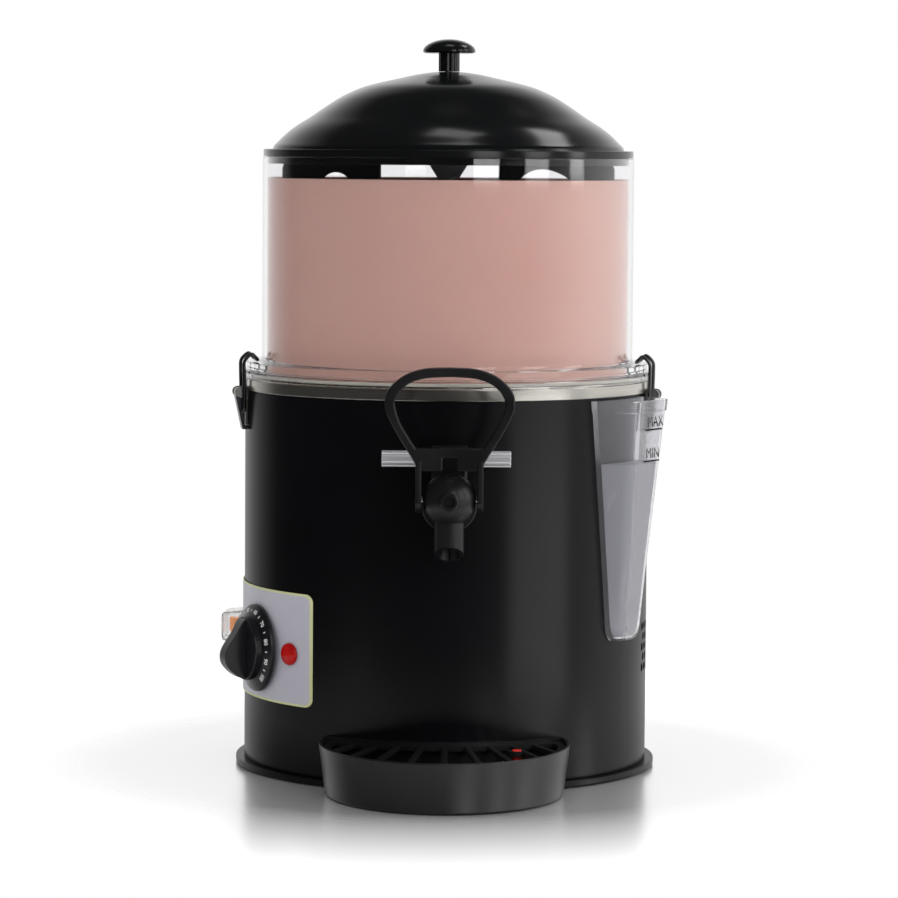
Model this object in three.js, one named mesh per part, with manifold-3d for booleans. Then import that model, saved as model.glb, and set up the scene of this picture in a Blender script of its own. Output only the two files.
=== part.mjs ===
import * as THREE from "three";
import { mergeVertices } from "three/addons/utils/BufferGeometryUtils.js";
import Module from "manifold-3d";

// Hot chocolate dispenser: a heated water bath with a steel pot, a clear bowl with a stirrer, and a tap.
// Lengths are in millimetres. +Z is up, the table is z = 0 and the front faces -Y.
// An azimuth is counted from the front: positive towards +X, the right-hand side seen from the front.

const wasm = await Module();
wasm.setup();

const deg = Math.PI / 180;
const roundSteps = 36;
const midSteps = 20;
const smallSteps = 12;
const ballSteps = 12;
const pinSteps = 8;
const curveSteps = 6;
const archSteps = 4;
const eyeSteps = 5;
const hexSides = 6;

// Gaps, gauges and overruns that many pieces share
const seat = 0.3;
const runGap = 0.5;
const overrun = 4;
const weld = 0.001;
const sheet = 1;

// Base pan and feet
const bodyRadius = 130;
const casingWall = 1.2;
const casingTop = 242;
const panFlangeOut = 5.4;
const panFlangeBottom = 1.2;
const panFlangeTop = 4.8;
const panFloorBottom = 2;
const panSheet = 1.5;
const panDropIn = 6;
const panUpstand = 9;
const panRound = 0.8;
const footRadius = 12;
const footIn = 24;
const footRound = 0.5;
const footAzimuth = 45 * deg;
const panFlangeRadius = bodyRadius + panFlangeOut;
const panDropRadius = bodyRadius - panDropIn;
const footCircle = bodyRadius - footIn;
const casingBottom = panFlangeTop + seat;
const casingInner = bodyRadius - casingWall;
const casingInnerFlat = casingInner * Math.cos(Math.PI / roundSteps);

// Cooling holes in the casing's right side
const ventRadius = 2.8;
const ventPitch = 7.6;
const ventRowPitch = 6.6;
const ventBottom = 66;
const ventRows = 5;
const ventColumns = 5;
const ventAzimuth = 76 * deg;

// Water bath, and the bright rim that carries it on the casing's top edge
const tankClear = 12;
const tankBottom = 98;
const tankCorner = 5;
const rimOut = 1;
const rimHeight = 7.1;
const rimSkirt = 1.6;
const rimRound = 0.6;
const tankRadius = bodyRadius - tankClear;
const rimRadius = bodyRadius + rimOut;
const rimBottom = casingTop + seat;
const rimTop = rimBottom + rimHeight;
const rimSkirtInner = rimRadius - rimSkirt;

// Product pot
const potClear = 5;
const potDrop = 70;
const potCorner = 4.5;
const potSheet = 0.8;
const potFlangeIn = 4;
const sleeveRadius = 9.5;
const sleeveBore = 8;
const sleeveDrop = 5;
const outletRadius = 7;
const outletBore = 5;
const outletRise = 7;
const potRadius = tankRadius - potClear;
const potFloor = casingTop - potDrop;
const potFlangeRadius = bodyRadius - potFlangeIn;
const outletHeight = potFloor + outletRise;
const potFlangeBottom = rimTop + seat;
const potFlangeTop = potFlangeBottom + potSheet;

// Bath heater
const heaterClear = 34;
const heaterRod = 4;
const heaterRise = 24;
const heaterGapAngle = 16 * deg;
const heaterTail = 8;
const heaterArcSteps = 16;
const heaterSteps = 42;
const heaterBend = 9;
const heaterCoil = tankRadius - heaterClear;
const heaterHeight = tankBottom + heaterRise;

// Clear bowl and its gasket
const gasketHeight = 2.2;
const gasketWidth = 11;
const bowlIn = 10.6;
const bowlWall = 3;
const bowlHeight = 136;
const bowlFlangeOut = 1.5;
const bowlTierIn = 2.2;
const bowlFlangeRise = 5.6;
const bowlTierRise = 5;
const bowlRound = 0.7;
const bowlFillet = 2.8;
const bowlSkirt = 3.9;
const bowlRadius = bodyRadius - bowlIn;
const bowlFlangeRadius = bodyRadius + bowlFlangeOut;
const bowlTierRadius = bowlFlangeRadius - bowlTierIn;
const bowlTierBottom = rimTop + bowlFlangeRise;
const bowlTierTop = bowlTierBottom + bowlTierRise;
const bowlTop = bowlTierBottom + bowlHeight;
const gasketBottom = potFlangeTop + seat;
const gasketTop = gasketBottom + gasketHeight;
const bowlInner = bowlRadius - bowlWall;

// Lid and its knob
const lidIn = 0.6;
const lidFlangeHeight = 4.5;
const lidWall = 2.5;
const lidRound = 0.6;
const lidSkirtDrop = 4.8;
const domeIn = 6.5;
const domeHeight = 49.9;
const domeShares = [
  [1, 0],
  [0.974, 0.126],
  [0.885, 0.295],
  [0.754, 0.465],
  [0.705, 0.547],
  [0.655, 0.649],
  [0.59, 0.723],
  [0.44, 0.82],
  [0.285, 0.898],
  [0.12, 0.975],
];
const knobRadius = 16.5;
const knobCapHeight = 8.8;
const knobStemRadius = 6.45;
const knobStemHeight = 12.8;
const knobFluteDepth = 0.75;
const knobFlutes = 10;
const fluteSteps = 4;
const knobShares = [
  [0, 0],
  [0.95, 0],
  [1, 0.12],
  [0.98, 0.26],
  [0.85, 0.55],
  [0.58, 0.84],
  [0.27, 0.97],
  [0, 1],
];
const screwRadius = 2.5;
const screwGrip = 8.5;
const screwHeadRadius = 5.5;
const screwHeadHeight = 2.6;
const lidFlatRadius = 8;
const lidRadius = bowlRadius - lidIn;
const domeRadius = lidRadius - domeIn;
const lidSeat = bowlTop + seat;
const lidFlangeTop = lidSeat + lidFlangeHeight;
const lidPeak = lidFlangeTop + domeHeight;
const lidSkirtRadius = bowlInner - runGap;

// Gearmotor, its bracket, the drive shaft and its seal
const motorRadius = 26;
const motorHeight = 40;
const motorNose = 6;
const gearboxSide = 58;
const gearboxHeight = 22;
const gearboxCorner = 6;
const gearboxOffset = 10;
const bracketTop = 57;
const bracketLength = 150;
const bracketWidth = 66;
const bracketSheet = 2;
const bracketFoot = 18;
const shaftRadius = 4.65;
const shaftDrop = 5;
const couplingRadius = 11;
const couplingHeight = 8;
const sealHeight = 12;
const motorSpigot = 20;
const shaftTop = bowlTop - shaftDrop;

// Stirrer
const stirrerHubRadius = 10;
const hubDrop = 14.5;
const stirrerFloorGap = 2.5;
const bladeThickness = 4;
const bladeClear = 6;
const bladeDrop = 3;
const bladeFloorGap = 5;
const bladeCorner = 4;
const crossbarDrop = 43;
const crossbarHeight = 19;
const footbarHeight = 27;
const leftBladeInner = 43.3;
const rightBladeInner = 32.3;
const windowRise = 39;
const leftWindowInner = 62.6;
const leftWindowOuter = 82;
const leftWindowDrop = 7;
const rightWindowInner = 42.6;
const rightWindowOuter = 84;
const rightWindowDrop = 4;
const rightWindowArch = 10;
const archOuterShare = 1 / 3;
const archInnerShare = 1 / 4;
const coneDrop = 3.6;
const coneHeight = 10.4;
const coneRadius = 12;
const coneNeck = 5.9;
const coneRim = 1.8;
const stirrerHubTop = bowlTop - hubDrop;
const bladeReach = potRadius - bladeClear;
const bladeTop = bowlTop - bladeDrop;
const bladeBottom = potFloor + bladeFloorGap;
const crossbarTop = bladeTop - crossbarDrop;
const crossbarBottom = crossbarTop - crossbarHeight;
const footbarTop = bladeBottom + footbarHeight;
const windowBottom = bladeBottom + windowRise;
const leftWindowTop = bladeTop - leftWindowDrop;
const rightWindowTop = bladeTop - rightWindowDrop;
const rightWindowShoulder = rightWindowTop - rightWindowArch;
const coneTop = bowlTop - coneDrop;

// Tap
const tapX = 2;
const tapOut = 35;
const tapRise = 6;
const ballRadius = 16.3;
const barrelRadius = 11.5;
const tapFlangeRadius = 17;
const tapFlangeThickness = 4.5;
const tapGasketThickness = 3.2;
const shankRadius = 11.5;
const nutFlats = 19;
const nutThickness = 5;
const spoutRadius = 9;
const spoutBore = 6.4;
const spoutDrop = 28;
const spoutSlant = 11.2;
const chamberRadius = 8.4;
const chamberDrop = 12.7;
const capThickness = 4;
const capSlotDepth = 1.2;
const frontBossRadius = 5.5;
const frontBossHeight = 1.2;
const frontBossRecess = 3.4;
const camRadius = 2.2;
const camFingerReach = 6;
const camFingerWidth = 4;
const plungerLift = 5;
const plungerRise = 4.5;
const plungerSealHeight = 2.2;
const plungerWallGap = 0.4;
const springWire = 0.45;
const springCurls = 4;
const springSidesPerCurl = 8;
const springSectionSides = 5;
const tapReach = bodyRadius + tapOut;
const tapHeight = outletHeight + tapRise;
const spoutFront = tapHeight - spoutDrop;
const spoutBack = spoutFront - spoutSlant;
const chamberFloor = tapHeight - chamberDrop;
const plungerTop = tapHeight + plungerRise;

// Tap handle, measured from its pivot
const loopHalfWidth = 39.2;
const loopTop = 80.1;
const loopDepth = 10;
const loopBevel = 1.5;
const loopHoleHalfWidth = 31.8;
const loopHoleTop = 74.1;
const loopHoleBottom = 31.6;
const loopShares = [
  [0, 1],
  [0.4, 0.99],
  [0.676, 0.946],
  [0.862, 0.881],
  [0.98, 0.805],
  [1, 0.737],
  [0.985, 0.668],
  [0.898, 0.574],
  [0.755, 0.451],
  [0.582, 0.317],
  [0.47, 0.218],
];
const loopHoleShares = [
  [0, 1],
  [0.44, 0.979],
  [0.71, 0.915],
  [0.896, 0.81],
  [1, 0.67],
  [0.99, 0.55],
  [0.9, 0.35],
  [0.72, 0.12],
  [0.6, 0],
];
const webSlot = 8.5;
const webSlotTop = 25.6;
const armThickness = 3.7;
const armGap = 0.6;
const armHubRadius = 8;
const armTop = 24;

// Grooved bar that locks the tap
const barLength = 79;
const barRadius = 5;
const barGroove = 0.6;
const barGrooves = 14;
const barRise = 22.6;
const barLugWidth = 22;
const barLugWall = 2.6;
const barLugBack = 1.6;
const barHeight = tapHeight + barRise;

// Over-centre latches
const latchAzimuth = 79 * deg;
const latchPivotReach = 5.6;
const latchPivotDrop = 1;
const bailPivotIn = 2.65;
const bailPivotDrop = 12;
const bailWire = 1.1;
const bailSpread = 8;
const bailSteps = 40;
const hookIn = 5.1;
const hookLift = 0.5;
const hookCrestRise = 5.2;
const hookCrestIn = 0.7;
const hookShoulderReach = 1.3;
const leverHalfWidth = 4.4;
const leverEye = 2.9;
const leverEndDrop = 12;
const leverEndThickness = 3.2;
const earThickness = 1.2;
const earGap = 0.5;
const earRadius = 3.4;
const latchPinRadius = 1.3;
const latchPlateDrop = 22;
const latchPlateThickness = 1.2;
const earDrop = 5.5;
const latchPivotOut = bodyRadius + latchPivotReach;
const latchPivotUp = casingTop - latchPivotDrop;
const bailPivotOut = latchPivotOut - bailPivotIn;
const bailPivotUp = latchPivotUp - bailPivotDrop;
const hookOut = bowlTierRadius - hookIn;
const hookCrest = bowlTierTop + hookCrestRise;
const hookCrestOut = bowlTierRadius - hookCrestIn;
const hookShoulderOut = bowlFlangeRadius + hookShoulderReach;
const leverEnd = bailPivotUp - leverEndDrop;
const latchPlateBottom = casingTop - latchPlateDrop;
const earBottom = latchPivotUp - earDrop;

// Control plate and what it carries
const plateFrom = -110 * deg;
const plateTo = -39.5 * deg;
const plateBottom = 48;
const plateHeight = 71;
const plateThickness = 0.8;
const plateCorner = 8;
const controlRise = 32.4;
const plateTop = plateBottom + plateHeight;
const controlHeight = plateBottom + controlRise;
const plateFace = bodyRadius + seat + plateThickness;
const knobAzimuth = -64.5 * deg;
const dialRadius = 27.75;
const dialRim = 2.2;
const dialSlope = 3.4;
const dialDrumRadius = 20.3;
const dialDrumTop = 10.3;
const dialRound = 0.9;
const gripLength = 39;
const gripWidth = 9.5;
const gripHeight = 15.6;
const gripBevel = 1.2;
const gripShares = [
  [-0.5, -0.04],
  [-0.47, 0.36],
  [-0.34, 0.76],
  [-0.16, 0.97],
  [-0.06, 1],
  [0.06, 0.95],
  [0.24, 0.66],
  [0.42, 0.27],
  [0.5, -0.04],
];
const stemRadius = 3;
const stemLength = 20;
const stemSocket = 7;
const thermostatSide = 34;
const thermostatDepth = 22;
const lampAzimuth = -47.7 * deg;
const lampRadius = 7;
const lampRise = 3.6;
const lampRim = 1.2;
const lampShares = [
  [0.86, 0.66],
  [0.5, 0.93],
];
const lampSpigot = 5.2;
const lampSpigotLength = 8;
const lampBodyRadius = 7;
const lampBodyLength = 16;
const switchAzimuth = -95 * deg;
const switchRise = 6.1;
const bezelWidth = 26;
const bezelHeight = 16;
const bezelThickness = 2;
const switchBodyWidth = 25;
const switchBodyHeight = 14.5;
const switchBodyDepth = 22;
const rockerWidth = 18;
const rockerHeight = 11;
const rockerPocketWidth = 22.6;
const rockerPocketDepth = 9;
const rockerAxisIn = 2;
const rockerEndRise = 10.6;
const rockerMidRise = 7.4;
const rockerBendShare = 0.55;
const rockerTilt = 12 * deg;
const rockerPinRadius = 1.2;
const rockerPinLength = 0.9;
const coverWidth = 30;
const coverHeight = 21;
const coverTaper = 2.2;
const coverDepth = 13.4;
const coverWall = 1;
const coverCorner = 3;
const switchHeight = controlHeight + switchRise;
const rockerAxisOut = bodyRadius - rockerAxisIn;
const coverReach = plateFace + seat + coverDepth;

// Water reservoir cup on the right
const cupAzimuth = 57.8 * deg;
const cupTopDrop = 1.3;
const cupWall = 2;
const cupBackTop = 31.5;
const cupBackBottom = 16;
const cupFaceTop = 20;
const cupFaceBottom = 10;
const cupDepthTop = 22.3;
const cupDepthBottom = 8.7;
const cupCorner = 6;
const cupLipHeight = 6;
const cupLipOut = 0.8;
const cupFoot = 9;
const cupMiddleShares = [0.35, 0.65];
const cupInsetShare = 0.6;
const cupCornerShares = [0, 0.5, 1];
const cupBackSteps = 6;
const cupFootShares = [
  [0, 0.66],
  [0.25, 0.86],
  [1, 1],
];
const fittingRise = 10;
const fittingOverFoot = 19.5;
const fittingRadius = 5;
const fittingBore = 3;
const fittingHead = 7.5;
const fittingHeadThickness = 2.4;
const cupTop = casingTop - cupTopDrop;
const fittingHeight = tankBottom + fittingRise;
const cupBottom = fittingHeight - fittingOverFoot;
const cupReachTop = bodyRadius + seat + cupDepthTop;
const cupReachBottom = bodyRadius + seat + cupDepthBottom;

// Drip tray, grille and float
const trayHalfWidth = 77.5;
const trayDepth = 85.5;
const trayCentreReach = 1;
const trayTop = 32;
const trayTaper = 4;
const trayFoot = 2;
const trayWall = 2.2;
const trayFloor = 2.4;
const grilleThickness = 3;
const grilleDrop = 2;
const grilleFrame = 4;
const grilleRib = 3.8;
const grilleRibAngle = 6 * deg;
const grilleRibs = 11;
const floatX = 44.4;
const floatReach = 20;
const floatPin = 3;
const floatDisc = 11;
const floatDiscHeight = 7;
const floatBoss = 2.4;
const floatRise = 0.6;
const trayCentreOut = bodyRadius + trayCentreReach;
const floatY = -bodyRadius - floatReach;

// Cord inlet and terminal block at the back
const glandHeight = 24;
const glandRadius = 8;
const glandBore = 3.8;
const glandFlats = 10;
const glandFlangeThickness = 3;
const glandNose = 14;
const glandShoulderShare = 0.6;
const glandTipShare = 0.7;
const glandTail = 12;
const terminalLength = 42;
const terminalWidth = 18;
const terminalHeight = 15;
const terminalIn = 34;
const terminalWays = 4;
const terminalScrew = 2.2;
const terminalOut = bodyRadius - terminalIn;

// From geometry to solid and back
const asSolid = (geometry) => {
  const bare = new THREE.BufferGeometry();
  const flat = geometry.index ? geometry.toNonIndexed() : geometry;
  bare.setAttribute("position", flat.getAttribute("position"));
  const merged = mergeVertices(bare, weld);
  const corners = merged.index.array;
  const kept = [];
  for (let i = 0; i < corners.length; i += 3) {
    const [a, b, c] = corners.slice(i, i + 3);
    if (a !== b && b !== c && c !== a) kept.push(a, b, c);
  }
  return new wasm.Manifold(
    new wasm.Mesh({
      numProp: 3,
      vertProperties: merged.getAttribute("position").array,
      triVerts: new Uint32Array(kept),
    }),
  );
};

const asGeometry = (body) => {
  const mesh = body.getMesh();
  const geometry = new THREE.BufferGeometry();
  geometry.setAttribute(
    "position",
    new THREE.BufferAttribute(new Float32Array(mesh.vertProperties), 3),
  );
  geometry.setIndex(new THREE.BufferAttribute(mesh.triVerts, 1));
  return geometry;
};

const join = (first, ...rest) =>
  asGeometry(rest.reduce((whole, next) => whole.add(asSolid(next)), asSolid(first)));

const cut = (first, ...rest) =>
  asGeometry(rest.reduce((whole, next) => whole.subtract(asSolid(next)), asSolid(first)));

const shared = (first, second) => asGeometry(asSolid(first).intersect(asSolid(second)));

// Places: moved along the axes, or turned so that a local -Y points outwards at an azimuth
const moved = (geometry, x, y, z) => geometry.clone().translate(x, y, z);
const atAzimuth = (geometry, azimuth) => geometry.clone().rotateZ(azimuth);
const facingFront = (geometry) => geometry.clone().rotateX(Math.PI / 2);

// A body of revolution about Z from [radius, height] points that end on the axis or close on themselves
const turned = (points, steps = roundSteps) => {
  const outline = points.map(([radius, height]) => new THREE.Vector2(radius, height));
  if (THREE.ShapeUtils.isClockWise(outline)) outline.reverse();
  const onAxis = outline[0].x === 0 && outline.at(-1).x === 0;
  if (!onAxis) outline.push(outline[0].clone());
  return new THREE.LatheGeometry(outline, steps).rotateX(Math.PI / 2);
};

const disc = (radius, from, to, steps = roundSteps) =>
  turned(
    [
      [0, from],
      [radius, from],
      [radius, to],
      [0, to],
    ],
    steps,
  );

const ring = (inner, outer, from, to, steps = roundSteps) =>
  turned(
    [
      [inner, from],
      [outer, from],
      [outer, to],
      [inner, to],
    ],
    steps,
  );

// A round rod that lies along the outward direction, between two distances from the centre line
const radialRod = (radius, from, to, steps = midSteps) =>
  facingFront(disc(radius, from, to, steps));

// A straight block from its lowest corner to its highest
const block = (x0, y0, z0, x1, y1, z1) =>
  new THREE.BoxGeometry(x1 - x0, y1 - y0, z1 - z0).translate(
    (x0 + x1) / 2,
    (y0 + y1) / 2,
    (z0 + z1) / 2,
  );

const outlineOf = (points) => {
  const outline = points.map(([x, y]) => new THREE.Vector2(x, y));
  return new THREE.Shape(THREE.ShapeUtils.isClockWise(outline) ? outline.reverse() : outline);
};

const extruded = (shape, depth, bevel = 0, steps = curveSteps) => {
  const geometry = new THREE.ExtrudeGeometry(shape, {
    depth: depth - 2 * bevel,
    bevelEnabled: bevel > 0,
    bevelThickness: bevel,
    bevelSize: bevel,
    bevelOffset: -bevel,
    bevelSegments: 1,
    curveSegments: steps,
  });
  return geometry.translate(0, 0, bevel - depth / 2);
};

// An outline drawn in X and Z, with its thickness along Y
const uprightPlate = (shape, depth, bevel = 0, steps = curveSteps) =>
  extruded(shape, depth, bevel, steps).rotateX(Math.PI / 2);

// An outline drawn outwards and upwards, with its thickness across
const crossBasis = new THREE.Matrix4().makeBasis(
  new THREE.Vector3(0, -1, 0),
  new THREE.Vector3(0, 0, 1),
  new THREE.Vector3(-1, 0, 0),
);
const sidePlate = (shape, depth, bevel = 0, steps = curveSteps) =>
  extruded(shape, depth, bevel, steps).applyMatrix4(crossBasis);

// A wire or tube along a curve
const along = (path, radius, steps, sides) => {
  const corners = Array.from({ length: sides }, (_, i) => {
    const angle = (2 * Math.PI * i) / sides;
    return [radius * Math.cos(angle), radius * Math.sin(angle)];
  });
  return new THREE.ExtrudeGeometry(outlineOf(corners), {
    steps,
    extrudePath: path,
    bevelEnabled: false,
  });
};

// A skin through sections of equal point count, each counter-clockwise seen from above, lowest first
const loft = (sections) => {
  const count = sections[0].length;
  const middle = (section) =>
    section.reduce((sum, [x, y, z]) => [sum[0] + x / count, sum[1] + y / count, sum[2] + z / count], [
      0, 0, 0,
    ]);
  const points = [...sections.flat(), middle(sections[0]), middle(sections.at(-1))];
  const low = count * sections.length;
  const high = low + 1;
  const index = [];
  for (let i = 0; i < count; i += 1) {
    const j = (i + 1) % count;
    sections.slice(1).forEach((section, level) => {
      const below = level * count;
      const above = below + count;
      index.push(below + i, below + j, above + j, below + i, above + j, above + i);
    });
    index.push(low, j, i, high, low - count + i, low - count + j);
  }
  const geometry = new THREE.BufferGeometry();
  geometry.setAttribute("position", new THREE.Float32BufferAttribute(points.flat(), 3));
  geometry.setIndex(index);
  return geometry;
};

const roundedRectangle = (halfWidth, halfHeight, corner) => {
  const shape = new THREE.Shape();
  shape.moveTo(halfWidth - corner, -halfHeight);
  shape.absarc(halfWidth - corner, corner - halfHeight, corner, -Math.PI / 2, 0);
  shape.absarc(halfWidth - corner, halfHeight - corner, corner, 0, Math.PI / 2);
  shape.absarc(corner - halfWidth, halfHeight - corner, corner, Math.PI / 2, Math.PI);
  shape.absarc(corner - halfWidth, corner - halfHeight, corner, Math.PI, (3 * Math.PI) / 2);
  return shape;
};

// Materials
const finish = (colour, roughness, metalness = 0, opacity = 1) =>
  new THREE.MeshStandardMaterial({
    color: colour,
    roughness,
    metalness,
    opacity,
    transparent: opacity < 1,
  });
const blackPaint = finish(0x1c1d20, 0.45);
const steel = finish(0xb9b8b2, 0.3, 1);
const chrome = finish(0xd8d8da, 0.12, 1);
const darkSteel = finish(0x3a3a3a, 0.35, 1);
const clearPlastic = finish(0xf2f2f4, 0.1, 0, 0.35);
const glossBlack = finish(0x0b0c0d, 0.15);
const mattBlack = finish(0x16171a, 0.5);
const greyPlastic = finish(0x8c8f92, 0.4);
const silicone = finish(0xd9d6cf, 0.7);
const rubber = finish(0x222222, 0.85);
const plateGrey = finish(0xc8c8cd, 0.4);
const orange = finish(0xe07b16, 0.35);
const red = finish(0xc81414, 0.25);
const motorGrey = finish(0x7d8084, 0.45, 0.8);
const whitePlastic = finish(0xe6e6e2, 0.45);
const milkPlastic = finish(0xe2e3e5, 0.35, 0, 0.5);

// The rolled base pan stands on the feet and locates the casing with its upstand
const basePan = () => {
  const upstandOuter = casingInner - seat;
  const upstandInner = upstandOuter - panSheet;
  const flangeUnder = panFlangeTop - panSheet;
  return turned([
    [0, panFloorBottom],
    [panDropRadius, panFloorBottom],
    [panDropRadius + panSheet, flangeUnder],
    [panFlangeRadius - panSheet, flangeUnder],
    [panFlangeRadius - panSheet, panFlangeBottom],
    [panFlangeRadius, panFlangeBottom],
    [panFlangeRadius, panFlangeTop - panRound],
    [panFlangeRadius - panRound, panFlangeTop],
    [upstandOuter, panFlangeTop],
    [upstandOuter, panFlangeTop + panUpstand],
    [upstandInner, panFlangeTop + panUpstand],
    [upstandInner, panFlangeTop],
    [panDropRadius, panFloorBottom + panSheet],
    [0, panFloorBottom + panSheet],
  ]);
};

const foot = () =>
  turned(
    [
      [0, 0],
      [footRadius - footRound, 0],
      [footRadius, footRound],
      [footRadius, panFloorBottom - seat],
      [0, panFloorBottom - seat],
    ],
    smallSteps,
  );

// Holes that the casing shares with the control plate
const controlHoles = (gap, through = [casingInner - overrun, plateFace + overrun]) => [
  atAzimuth(
    moved(radialRod(stemRadius + gap, ...through, smallSteps), 0, 0, controlHeight),
    knobAzimuth,
  ),
  atAzimuth(
    moved(radialRod(lampSpigot + gap, ...through, smallSteps), 0, 0, controlHeight),
    lampAzimuth,
  ),
  atAzimuth(
    block(
      -switchBodyWidth / 2 - gap,
      -plateFace - overrun,
      switchHeight - switchBodyHeight / 2 - gap,
      switchBodyWidth / 2 + gap,
      -casingInner + overrun,
      switchHeight + switchBodyHeight / 2 + gap,
    ),
    switchAzimuth,
  ),
];

const fittingHole = (through) =>
  atAzimuth(
    moved(radialRod(fittingRadius + seat, ...through, smallSteps), 0, 0, fittingHeight),
    cupAzimuth,
  );

const ventHoles = () => {
  const holes = [];
  const stepAngle = ventPitch / bodyRadius;
  for (let row = 0; row < ventRows; row += 1) {
    const shift = row % 2 ? stepAngle / 2 : 0;
    for (let column = 0; column < ventColumns; column += 1) {
      const hole = radialRod(ventRadius, casingInner - overrun, bodyRadius + overrun, hexSides);
      const height = ventBottom + row * ventRowPitch;
      holes.push(atAzimuth(moved(hole, 0, 0, height), ventAzimuth + shift + column * stepAngle));
    }
  }
  return holes;
};

// The painted casing, a rolled cylinder with its openings
const casing = () => {
  const through = [casingInner - overrun, bodyRadius + overrun];
  return cut(
    ring(casingInner, bodyRadius, casingBottom, casingTop),
    moved(radialRod(shankRadius + seat, ...through), tapX, 0, outletHeight),
    fittingHole(through),
    atAzimuth(moved(radialRod(glandRadius + seat, ...through, smallSteps), 0, 0, glandHeight), Math.PI),
    ...controlHoles(seat),
    ...ventHoles(),
  );
};

// The bright rim: a flat ring on the casing's edge, with a skirt down to it
const bathRim = () =>
  turned([
    [tankRadius - sheet, rimTop - sheet],
    [rimSkirtInner, rimTop - sheet],
    [rimSkirtInner, rimBottom],
    [rimRadius, rimBottom],
    [rimRadius, rimTop - rimRound],
    [rimRadius - rimRound, rimTop],
    [tankRadius - sheet, rimTop],
  ]);

// The water bath: a deep drawn tank whose flange hangs under the rim
const bathTank = () => {
  const holeRadius = sleeveRadius + seat;
  const inner = tankRadius - sheet;
  const flangeTop = rimTop - sheet - seat;
  const tank = turned([
    [holeRadius, tankBottom],
    [tankRadius - tankCorner, tankBottom],
    [tankRadius, tankBottom + tankCorner],
    [tankRadius, flangeTop - sheet],
    [rimSkirtInner - seat, flangeTop - sheet],
    [rimSkirtInner - seat, flangeTop],
    [inner, flangeTop],
    [inner, tankBottom + tankCorner],
    [tankRadius - tankCorner, tankBottom + sheet],
    [holeRadius, tankBottom + sheet],
  ]);
  const through = [inner - overrun, tankRadius + overrun];
  const tails = [-1, 1].map((side) =>
    moved(
      disc(heaterRod + seat, tankBottom - overrun, tankBottom + overrun, smallSteps),
      ...heaterTailPlace(side),
      0,
    ),
  );
  return cut(
    tank,
    moved(radialRod(outletRadius + seat, ...through), tapX, 0, outletHeight),
    fittingHole(through),
    ...tails,
  );
};

// The steel pot hangs in the bath by its flange, with a sleeve for the shaft and an outlet to the tap
const productPot = () => {
  const inner = potRadius - potSheet;
  const under = potFloor - potSheet;
  const shell = turned([
    [sleeveBore, tankBottom - sleeveDrop],
    [sleeveRadius, tankBottom - sleeveDrop],
    [sleeveRadius, under],
    [potRadius - potCorner, under],
    [potRadius, under + potCorner],
    [potRadius, potFlangeBottom],
    [potFlangeRadius, potFlangeBottom],
    [potFlangeRadius, potFlangeTop],
    [inner, potFlangeTop],
    [inner, under + potCorner],
    [potRadius - potCorner, potFloor],
    [sleeveBore, potFloor],
  ]);
  const hollow = turned([
    [0, potFloor],
    [potRadius - potCorner, potFloor],
    [inner, under + potCorner],
    [inner, potFlangeBottom],
    [0, potFlangeBottom],
  ]);
  const outletEnd = casingInner - seat;
  const tube = cut(
    moved(radialRod(outletRadius, potRadius - potCorner, outletEnd), tapX, 0, outletHeight),
    hollow,
  );
  const bore = moved(
    radialRod(outletBore, potRadius - potCorner - overrun, outletEnd + overrun),
    tapX,
    0,
    outletHeight,
  );
  return cut(join(shell, tube), bore);
};

const heaterTailPlace = (side) => {
  const angle = side * heaterGapAngle;
  return [heaterCoil * Math.sin(angle), heaterCoil * Math.cos(angle)];
};

// A ring heating element with two tails through the bath's floor
const bathHeater = () => {
  const points = [];
  const bend = heaterBend / heaterCoil;
  const [leftX, leftY] = heaterTailPlace(-1);
  const [rightX, rightY] = heaterTailPlace(1);
  points.push(new THREE.Vector3(rightX, rightY, tankBottom - heaterTail));
  points.push(new THREE.Vector3(rightX, rightY, tankBottom + heaterTail));
  points.push(new THREE.Vector3(rightX, rightY, heaterHeight - heaterBend));
  const from = heaterGapAngle + bend;
  const sweep = 2 * Math.PI - 2 * from;
  for (let i = 0; i <= heaterArcSteps; i += 1) {
    const angle = from + (sweep * i) / heaterArcSteps;
    const x = heaterCoil * Math.sin(angle);
    const y = heaterCoil * Math.cos(angle);
    points.push(new THREE.Vector3(x, y, heaterHeight));
  }
  points.push(new THREE.Vector3(leftX, leftY, heaterHeight - heaterBend));
  points.push(new THREE.Vector3(leftX, leftY, tankBottom + heaterTail));
  points.push(new THREE.Vector3(leftX, leftY, tankBottom - heaterTail));
  return along(new THREE.CatmullRomCurve3(points, false, "centripetal"), heaterRod, heaterSteps, hexSides);
};

const potGasket = () =>
  ring(potFlangeRadius - gasketWidth, potFlangeRadius, gasketBottom, gasketTop);

// The clear bowl: a tube with a stepped clamping flange that hoods the gasket
const bowl = () => {
  const recess = bowlFlangeRadius - bowlSkirt;
  return turned([
    [recess, potFlangeBottom],
    [bowlFlangeRadius, potFlangeBottom],
    [bowlFlangeRadius, bowlTierBottom - bowlRound],
    [bowlFlangeRadius - bowlRound, bowlTierBottom],
    [bowlTierRadius, bowlTierBottom],
    [bowlTierRadius, bowlTierTop - bowlRound],
    [bowlTierRadius - bowlRound, bowlTierTop],
    [bowlRadius + bowlFillet, bowlTierTop],
    [bowlRadius, bowlTierTop + bowlFillet],
    [bowlRadius, bowlTop - bowlRound],
    [bowlRadius - bowlRound, bowlTop],
    [bowlInner, bowlTop],
    [bowlInner, gasketTop + seat],
    [recess, gasketTop + seat],
  ]);
};

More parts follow.
